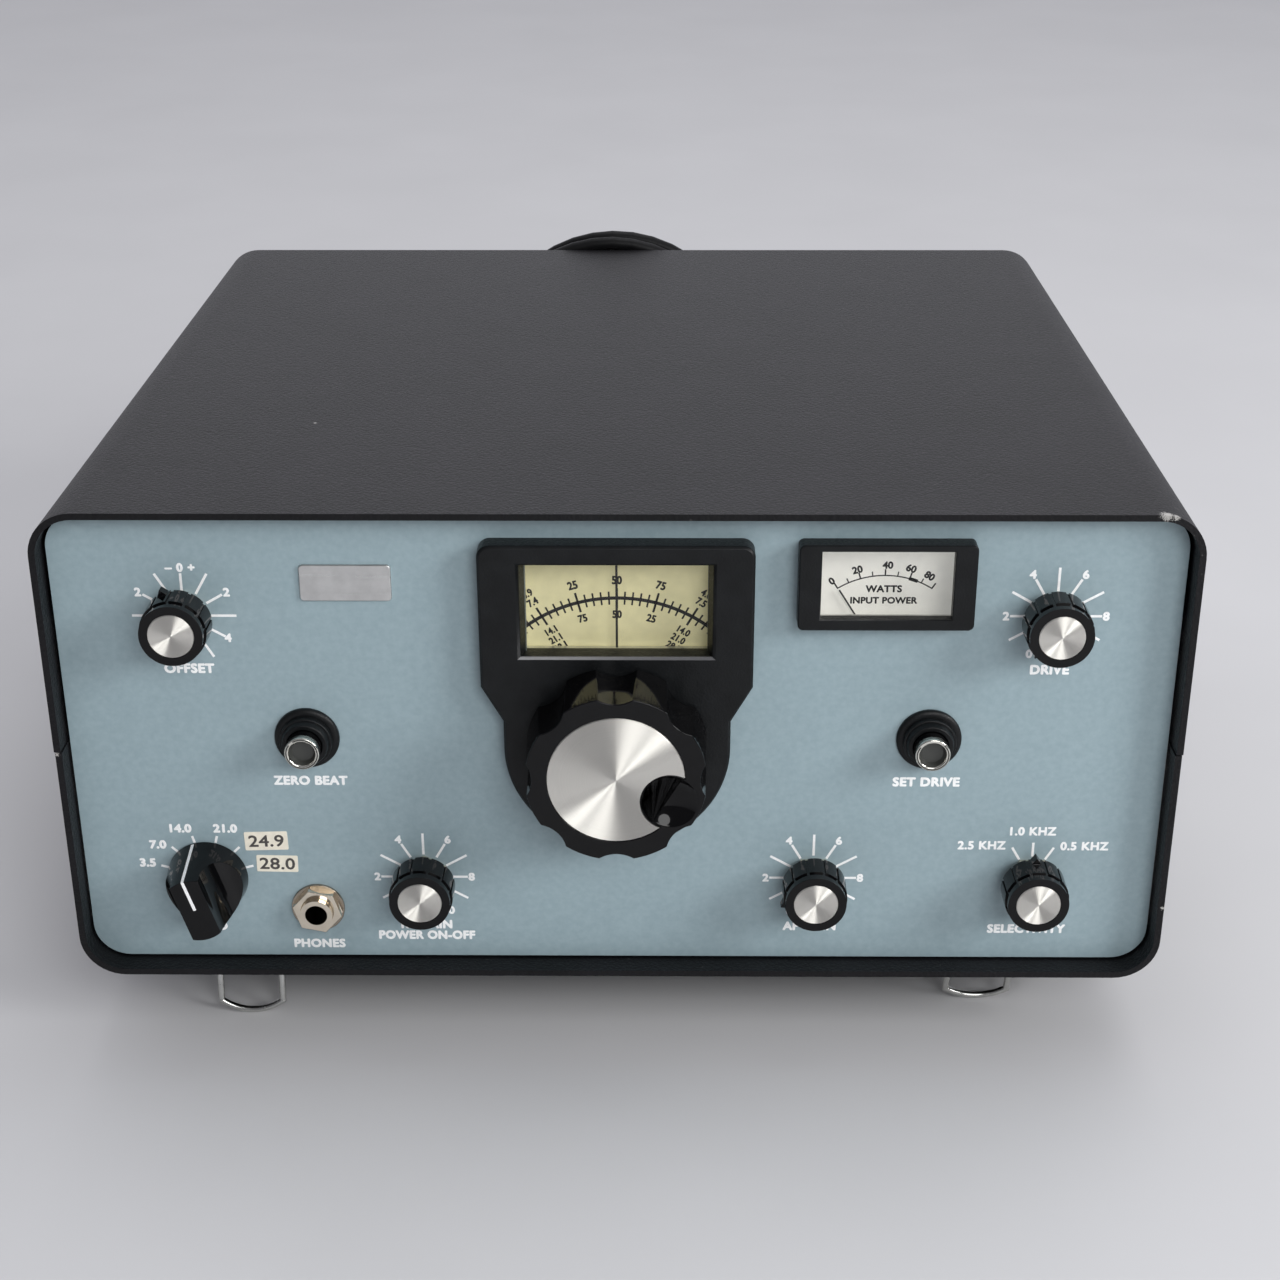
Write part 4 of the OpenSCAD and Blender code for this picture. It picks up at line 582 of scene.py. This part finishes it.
# Painted shade: the panel's cut edges are made black for the dark ledge they show inside the windows.
second_look(rounded("front_panel"), "black_plastic", lambda at, way: way.z < 0.5)
for side, x in (("left", -button_x), ("right", button_x)):
    button = bpy.data.objects[side + "_button_rounded"]
    cut_across(button, collar_out, groove_low, groove_high)
    # Painted shade: the hollow ends of the push-buttons are made dark.
    second_look(button, "hollow_painted_shade", lambda at, way: at.z > tube_out and way.z > 0.1
                and math.hypot(at.x - x, at.y - button_z) < hollow_r)
    second_look(button, "knob_plastic", lambda at, way: abs(way.z) < 0.1
                and (at.z < collar_out or groove_low < at.z < groove_high))
# Painted shade: the jack's washer below the nut is made darker than the nut.
second_look(bpy.data.objects["phones_nut_rounded"], "washer_painted_shade", lambda at, way: at.z < washer_out)
second_look(bpy.data.objects["power_plug_rounded"], "plated_steel", lambda at, way: at.x < plug_face)
print("chamfered frames and second finishes")

# %% [markdown]
# The tube of the mains lead is now dressed in black and put on the lead's body, in place of the solid model's
# cord and coil.

# %% Lead
smooth_faces(lead_mesh, 60)
mains_lead = new_piece("mains_lead", lead_mesh, body_of["power_cord"], "cord_black")
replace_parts(mains_lead, "power_cord", "cord_coil")
print("lead with", mains_lead.name)

# %% [markdown]
# The spun faces of the knobs are thin discs let into the plastic. Their mesh is turned on a lathe in
# code: rings of points around the knob's axis, so that each face has a true radius and angle for its
# map. The large one has a round notch for the finger dimple, cut by a Boolean, which keeps the map.

# %% Spun knob faces
def spun_disc(name, radius, thick):
    shape = bmesh.new()
    around, middle_r, edge_w, edge_fall = 96, 0.02, 0.2, 0.18
    rings = [middle_r] + [radius * k / 10 for k in range(1, 10)] + [radius - edge_w, radius]
    heights = [thick] * (len(rings) - 1) + [thick - edge_fall]
    turns = [math.tau * k / around for k in range(around)]
    rows = [[shape.verts.new((r * mm * math.sin(a), r * mm * math.cos(a), h * mm)) for a in turns]
            for r, h in zip(rings + [radius, middle_r], heights + [0, 0])]
    chart = shape.loops.layers.uv.new("spun")
    for i, (inner, outer) in enumerate(zip(rows, rows[1:])):
        for k in range(around):
            face = shape.faces.new((inner[k], outer[k], outer[k - around + 1], inner[k - around + 1]))
            for loop, (ring, turn_share) in zip(face.loops, ((i, k), (i + 1, k), (i + 1, k + 1), (i, k + 1))):
                loop[chart].uv = (ring / len(rows), turn_share / around)
    for row in (rows[0], rows[-1]):
        face = shape.faces.new(row)
        for k, loop in enumerate(face.loops):
            loop[chart].uv = (0, k / around)
    bmesh.ops.recalc_face_normals(shape, faces=shape.faces)
    mesh = bpy.data.meshes.new(name)
    shape.to_mesh(mesh)
    shape.free()
    return mesh


knob_places = {"offset": (-120.4, 113.4), "drive": (120.4, 113.4), "rf_gain": (-56.8, 29.5),
               "af_gain": (56.8, 29.5), "selectivity": (120.4, 29.5)}
face_r, face_t, face_out = 6.3, 0.8, 14.2
tuning_face_r, tuning_face_out = 18.9, 24.2
dimple_turn, dimple_reach, dimple_r = 114, 16.4, 8.5
for name, (x, z) in knob_places.items():
    disc = spun_disc(name + "_face", face_r, face_t)
    disc.transform(on_panel(x, z, face_out))
    smooth_faces(disc, 20)
    cap = name + "_cap"
    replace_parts(new_piece(name + "_face", disc, body_of[cap], "spun_aluminium"), cap)
big_disc = spun_disc("tuning_face", tuning_face_r, face_t)
tuning_face = new_piece("tuning_face", big_disc, body_of["tuning_cap"], "spun_aluminium")
bite = bpy.data.meshes.new("bite")
shape = bmesh.new()
bmesh.ops.create_cone(shape, cap_ends=True, segments=64, radius1=dimple_r * mm, radius2=dimple_r * mm,
                      depth=6 * mm)
shape.transform(Matrix.Rotation(-math.radians(dimple_turn), 4, "Z")
                @ Matrix.Translation((0, dimple_reach * mm, 0)))
shape.to_mesh(bite)
shape.free()
cutter = bpy.data.objects.new("bite", bite)
scene.collection.objects.link(cutter)
notch = tuning_face.modifiers.new("notch", "BOOLEAN")
notch.object, notch.operation, notch.solver = cutter, "DIFFERENCE", "EXACT"
settle(tuning_face)
smooth_faces(tuning_face.data, 20)
bpy.data.objects.remove(cutter)
tuning_face.data.transform(on_panel(0, tune_z / mm, tuning_face_out))
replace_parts(tuning_face, "tuning_cap")
print("six spun faces")

# %% [markdown]
# Marks that stand around a centre, on the control scales, the dial and the meter, all follow one rule:
# a short bar at a radius, repeated every so many degrees. One Geometry Nodes tree draws them from
# named sizes, so a scale is a line of numbers here and not a drawing. The bars are realised into one
# plain mesh, laid on their ground, and joined to the rest of the print on the same body.

# %% Tree of marks around a centre
marks = bpy.data.node_groups.new("marks_around", "GeometryNodeTree")
for label, kind in (("Count", "NodeSocketInt"), ("First", "NodeSocketFloat"), ("Step", "NodeSocketFloat"),
                    ("Inner", "NodeSocketFloat"), ("Outer", "NodeSocketFloat"), ("Width", "NodeSocketFloat"),
                    ("Height", "NodeSocketFloat"), ("Ink", "NodeSocketMaterial")):
    marks.interface.new_socket(name=label, in_out="INPUT", socket_type=kind)
marks.interface.new_socket(name="Geometry", in_out="OUTPUT", socket_type="NodeSocketGeometry")


def knot(kind, **values):
    node = marks.nodes.new(kind)
    for key, value in values.items():
        setattr(node, key, value)
    return node


def sum_of(operation, a, b):
    node = knot("ShaderNodeMath", operation=operation)
    for socket, value in zip(node.inputs, (a, b)):
        if isinstance(value, float):
            socket.default_value = value
        else:
            marks.links.new(value, socket)
    return node.outputs[0]


given = knot("NodeGroupInput").outputs
points, bar, bar_size = knot("GeometryNodePoints"), knot("GeometryNodeMeshCube"), knot("ShaderNodeCombineXYZ")
shift, moved = knot("ShaderNodeCombineXYZ"), knot("GeometryNodeTransform")
spin, euler = knot("ShaderNodeCombineXYZ"), knot("FunctionNodeEulerToRotation")
copies = knot("GeometryNodeInstanceOnPoints")
marks.links.new(given["Count"], points.inputs["Count"])
marks.links.new(given["Width"], bar_size.inputs["X"])
marks.links.new(sum_of("SUBTRACT", given["Outer"], given["Inner"]), bar_size.inputs["Y"])
marks.links.new(given["Height"], bar_size.inputs["Z"])
marks.links.new(bar_size.outputs[0], bar.inputs["Size"])
marks.links.new(sum_of("MULTIPLY", sum_of("ADD", given["Outer"], given["Inner"]), 0.5), shift.inputs["Y"])
marks.links.new(sum_of("MULTIPLY", given["Height"], 0.5), shift.inputs["Z"])
marks.links.new(bar.outputs["Mesh"], moved.inputs["Geometry"])
marks.links.new(shift.outputs[0], moved.inputs["Translation"])
step_sum = sum_of("MULTIPLY", knot("GeometryNodeInputIndex").outputs[0], given["Step"])
angle = sum_of("ADD", given["First"], step_sum)
marks.links.new(sum_of("MULTIPLY", angle, -math.pi / 180), spin.inputs["Z"])
marks.links.new(spin.outputs[0], euler.inputs[0])
marks.links.new(points.outputs[0], copies.inputs["Points"])
marks.links.new(moved.outputs[0], copies.inputs["Instance"])
marks.links.new(euler.outputs[0], copies.inputs["Rotation"])
real, inked = knot("GeometryNodeRealizeInstances"), knot("GeometryNodeSetMaterial")
marks.links.new(copies.outputs[0], real.inputs[0])
marks.links.new(real.outputs[0], inked.inputs["Geometry"])
marks.links.new(given["Ink"], inked.inputs["Material"])
marks.links.new(inked.outputs[0], knot("NodeGroupOutput").inputs[0])
socket_of = {item.name: item.identifier for item in marks.interface.items_tree if item.in_out == "INPUT"}
ink_h = 0.03


def marks_around(ink, count, first, step, inner, outer, width):
    holder = bpy.data.objects.new("marks", bpy.data.meshes.new("marks"))
    scene.collection.objects.link(holder)
    nodes = holder.modifiers.new("marks", "NODES")
    nodes.node_group = marks
    for label, value in (("Count", count), ("First", float(first)), ("Step", float(step)),
                         ("Inner", inner * mm), ("Outer", outer * mm), ("Width", width * mm),
                         ("Height", ink_h * mm), ("Ink", FINISH[ink])):
        nodes[socket_of[label]] = value
    mesh = bpy.data.meshes.new_from_object(holder.evaluated_get(bpy.context.evaluated_depsgraph_get()))
    bpy.data.objects.remove(holder)
    return mesh


print("tree with", len(marks.nodes), "nodes and inputs", list(socket_of))

# %% [markdown]
# Lettering is a text curve, thickened a hair into solid ink, made a mesh and then laid in place. The
# built-in sans-serif is lighter than the panel's bold print. A curve can swell its own outline, but that
# breaks narrow figures such as a 4, so each word is laid down six times, a hair apart on a small circle.
# Its capitals are measured once, so that sizes can be given as the height of a capital.

# %% Lettering
def words(text, cap, weight=0.0, spacing=1.0, wide=1.0):
    """A centred line of lettering with capitals of the given height, flat on XY."""
    data = bpy.data.curves.new("words", "FONT")
    data.body, data.align_x, data.resolution_u = text, "CENTER", 3
    data.size = cap * mm / cap_share
    data.extrude, data.space_character = ink_h / 2 * mm, spacing
    holder = bpy.data.objects.new("words", data)
    scene.collection.objects.link(holder)
    thin = bpy.data.meshes.new_from_object(holder.evaluated_get(bpy.context.evaluated_depsgraph_get()))
    bpy.data.objects.remove(holder)
    thin.transform(Matrix.Translation((0, -cap / 2 * mm, ink_h / 2 * mm)) @ Matrix.Diagonal((wide, 1, 1, 1)))
    sheet = bmesh.new()
    for k in range(6 if weight else 1):
        copy, a = thin.copy(), math.tau * k / 6
        copy.transform(Matrix.Translation(Vector((math.cos(a), math.sin(a), 0.03 * k)) * weight * cap * mm))
        sheet.from_mesh(copy)
        bpy.data.meshes.remove(copy)
    sheet.to_mesh(thin)
    sheet.free()
    return thin


cap_share = 1.0
capital = words("H", 1000)
cap_share = max(v.co.y for v in capital.vertices) + 0.5
print("a capital is", round(cap_share, 3), "of the letter size")

# %% [markdown]
# Now the panel's print. Every control has its ring of marks, long ones between the numbers and short
# ones under them, then its numbers and its name below. The screen for the print is a little out of
# line with the shafts, as it is on the real panel. Two band positions are on paper labels stuck over
# the panel later, in dark figures.

# %% Panel print
panel_white = bmesh.new()


def lay(sheet, mesh, place):
    mesh.transform(place)
    sheet.from_mesh(mesh)
    bpy.data.meshes.remove(mesh)


def around(centre, radius, angle):
    a = math.radians(angle)
    return centre[0] + radius * math.sin(a), centre[1] + radius * math.cos(a)


mark_w, mark_in, short_out, long_out = 0.72, 7.5, 12.7, 14.5
figure_cap, figure_r, figure_lift, bold = 2.3, 13.8, 0.7, 0.085
scale_at = {"drive": (121.2, 113.4), "offset": (-119.8, 113.1), "rf_gain": (-56.9, 29.6),
            "af_gain": (56.8, 29.6)}


def ring_of_marks(centre, count, first, step, inner, outer):
    lay(panel_white, marks_around("ink_white", count, first, step, inner, outer, mark_w), on_panel(*centre))


def figures(centre, texts, first, step):
    """Figures around a control, a little closer in at its sides and below than above it."""
    for k, text in enumerate(texts):
        angle = first + step * k
        place = around(centre, figure_r + figure_lift * math.cos(math.radians(angle)), angle)
        lay(panel_white, words(text, figure_cap, bold, 1.0, 1.06), on_panel(*place))


for name in ("drive", "rf_gain", "af_gain"):
    ring_of_marks(scale_at[name], 5, -120, 60, mark_in, long_out)
    ring_of_marks(scale_at[name], 6, -150, 60, mark_in, short_out)
    figures(scale_at[name], ("0", "2", "4", "6", "8", "10"), -150, 60)
centre = scale_at["offset"]
ring_of_marks(centre, 6, -150, 60, mark_in, long_out)
ring_of_marks(centre, 5, -120, 60, mark_in, short_out)
figures(centre, ("4", "2"), -120, 60)
figures(centre, ("2", "4"), 60, 60)
for text, dx in (("\u2013", -3.1), ("0", 0), ("+", 3.2)):
    lay(panel_white, words(text, figure_cap, bold), on_panel(centre[0] + dx, centre[1] + 14.4))
ring_of_marks(knob_places["selectivity"], 3, -30, 30, mark_in, 12.1)
for text, x, z in (("2.5 KHZ", 105.4, 40.7), ("1.0 KHZ", 119.7, 45.4), ("0.5 KHZ", 135.2, 40.5)):
    lay(panel_white, words(text, 2.5, 0.07, 1.08), on_panel(x, z))
band_at = (-120.4, 29.5)
ring_of_marks(band_at, 6, -75, 30, 11.7, 14.0)
for text, x, z in (("3.5", -137.8, 34.1), ("7.0", -134.3, 40.2), ("14.0", -127.5, 45.6),
                   ("21.0", -114.2, 45.6)):
    lay(panel_white, words(text, 2.45, 0.09, 1.04, 1.08), on_panel(x, z))
for text, x, z, wide in (
        ("OFFSET", -119.9, 97.0, 1.04), ("DRIVE", 120.6, 97.1, 1), ("ZERO BEAT", -88.2, 61.5, 1),
        ("SET DRIVE", 88.2, 61.5, 1.03), ("PHONES", -89.2, 6.6, 1), ("RF GAIN", -57.0, 13.3, 1),
        ("POWER ON-OFF", -57.1, 9.6, 0.95), ("AF GAIN", 56.4, 13.1, 1), ("SELECTIVITY", 120.3, 12.4, 1),
        ("BAND", -121.7, 12.5, 1)):
    lay(panel_white, words(text, 2.6, bold, 1.08, wide), on_panel(x, z))


def printed(name, sheet, body, look):
    mesh = bpy.data.meshes.new(name)
    sheet.to_mesh(mesh)
    sheet.free()
    return new_piece(name, mesh, body, look)


panel_print = printed("panel_print", panel_white, "cabinet", "ink_white")
print("panel print", len(panel_print.data.polygons), "faces")

# %% [markdown]
# The paper labels are thin slips with softened corners, and the band knob has a white line along its
# crest that runs down the pointer end. A small bar with rounded edges does for both: it is a cube in
# bmesh, sized, bevelled and placed.

# %% Labels and pointer line
def slip(w, h, t, edge):
    shape = bmesh.new()
    bmesh.ops.create_cube(shape, size=1)
    shape.transform(Matrix.Diagonal((w * mm, h * mm, t * mm, 1)))
    upright = [e for e in shape.edges if abs(e.verts[0].co.z - e.verts[1].co.z) > t * mm / 2]
    bmesh.ops.bevel(shape, geom=upright, offset=edge * mm, segments=3, affect="EDGES", profile=0.5)
    mesh = bpy.data.meshes.new("slip")
    shape.to_mesh(mesh)
    shape.free()
    return mesh


papers, grey = bmesh.new(), bmesh.new()
for text, x, z, w, h, spin in (("24.9", -102.5, 41.5, 12.6, 6.1, -1.5),
                               ("28.0", -99.8, 33.9, 12.1, 5.5, 1.0)):
    lay(papers, slip(w, h, 0.1, 0.4), on_panel(x, z, 0.05, spin))
    lay(grey, words(text, 3.6, 0.03, 1.02, 1.14), on_panel(x, z, 0.1, spin))
printed("paper_labels", papers, "cabinet", "label_paper")
printed("label_figures", grey, "cabinet", "ink_grey")
crest = bmesh.new()
knob_axes = on_panel(*band_at, 0, -17.2)
top_r, base_r, top_h, base_h = 9.85, 11.8, 19.3, 0.5
line_w, line_t, line_edge, crest_len, fall_len, fall_shift = 0.9, 0.06, 0.2, 9.7, 18.3, -0.25
lay(crest, slip(line_w, crest_len, line_t, line_edge),
    knob_axes @ Matrix.Translation((0, (top_r - crest_len / 2) * mm, top_h * mm)))
fall = math.atan2(base_r - top_r, top_h - base_h)
down = (Matrix.Translation((0, (top_r + base_r) / 2 * mm, (top_h + base_h) / 2 * mm))
        @ Matrix.Rotation(fall - math.pi / 2, 4, "X") @ Matrix.Translation((0, fall_shift * mm, 0)))
lay(crest, slip(line_w, fall_len, line_t, line_edge), knob_axes @ down)
printed("band_pointer_line", crest, body_of["band_knob"], "ink_white")
print("labels and pointer line")

# %% [markdown]
# The dial is a disc that turns behind the window, so its scale goes right round and rides on the dial's
# body. One turn of 60 degrees is a hundred divisions. The outer figures run clockwise and the inner
# ones back, and every hundred has the whole frequencies stacked: two bands outside and three inside.

# %% Dial scale
dial_out = -4.0
dial_at = (0, 75)
dial_ink = bmesh.new()
arc_r = 41.9
for count, half_len, width in ((120, 1.95, 0.5), (24, 3.0, 0.62), (360, 0.5, 0.78)):
    lay(dial_ink, marks_around("ink_black", count, 0, 360 / count, arc_r - half_len, arc_r + half_len, width),
        on_panel(*dial_at, dial_out))


def dial_words(text, cap, radius, angle):
    place = around(dial_at, radius, angle)
    lay(dial_ink, words(text, cap, 0.065, 1.02, 0.84), on_panel(*place, dial_out, angle))


for k in range(6):
    for share in (25, 50, 75):
        dial_words(str(share), 2.25, arc_r + 5.4, 60 * k - 30 + 0.6 * share)
        dial_words(str(100 - share), 2.1, arc_r - 4.9, 60 * k - 30 + 0.6 * share)
    hundred = (k + 4) % 6
    dial_words(f"{3.5 + hundred / 10:.1f}", 2.0, arc_r + 7.9, 60 * k - 30)
    dial_words(f"{7.0 + hundred / 10:.1f}", 2.0, arc_r + 5.0, 60 * k - 30)
    tenth = (1 - k) % 6
    for row, whole in enumerate((14, 21, 28)):
        dial_words(f"{whole + tenth / 10:.1f}", 1.9, arc_r - 5.0 - 2.75 * row, 60 * k - 30)
printed("dial_print", dial_ink, body_of["dial_disc"], "ink_black")
hair = bmesh.new()
lay(hair, slip(0.65, 27.0, 0.05, 0.1), on_panel(0, 117.1, -0.03))
printed("dial_hairline", hair, "cabinet", "ink_black")
print("dial scale on", body_of["dial_disc"])

# %% [markdown]
# The meter's card carries an arc of marks from 0 to 80 with its unit and its name below. The needle is
# the solid model's own and swings over it.

# %% Meter scale
card_out, arc_at, meter_r = -6.9, (74.4, 98.6), 24.0
meter_ink = bmesh.new()
for count, first, step, inner, outer, width in (
        (9, -33, 8.25, 0.0, 1.4, 0.34), (5, -33, 16.5, 0.0, 1.9, 0.42), (67, -33, 1, -0.18, 0.18, 0.44),
        (6, 16.5, 1, -0.5, 0.5, 0.5)):
    bars = marks_around("ink_black", count, first, step, meter_r + inner, meter_r + outer, width)
    lay(meter_ink, bars, on_panel(*arc_at, card_out))
for text, x, z, spin in (("0", 59.6, 120.9, -33), ("20", 66.6, 124.3, -15), ("40", 75.0, 125.7, 0),
                         ("60", 81.5, 124.7, 18), ("80", 86.7, 122.5, 32)):
    lay(meter_ink, words(text, 1.95, 0.07), on_panel(x, z, card_out, spin))
lay(meter_ink, words("WATTS", 1.9, 0.065, 1.05, 1.03), on_panel(74.2, 118.6, card_out))
lay(meter_ink, words("INPUT POWER", 1.8, 0.065, 1.05, 1.03), on_panel(74.2, 115.1, card_out))
printed("meter_print", meter_ink, "cabinet", "ink_black")
print("meter scale")
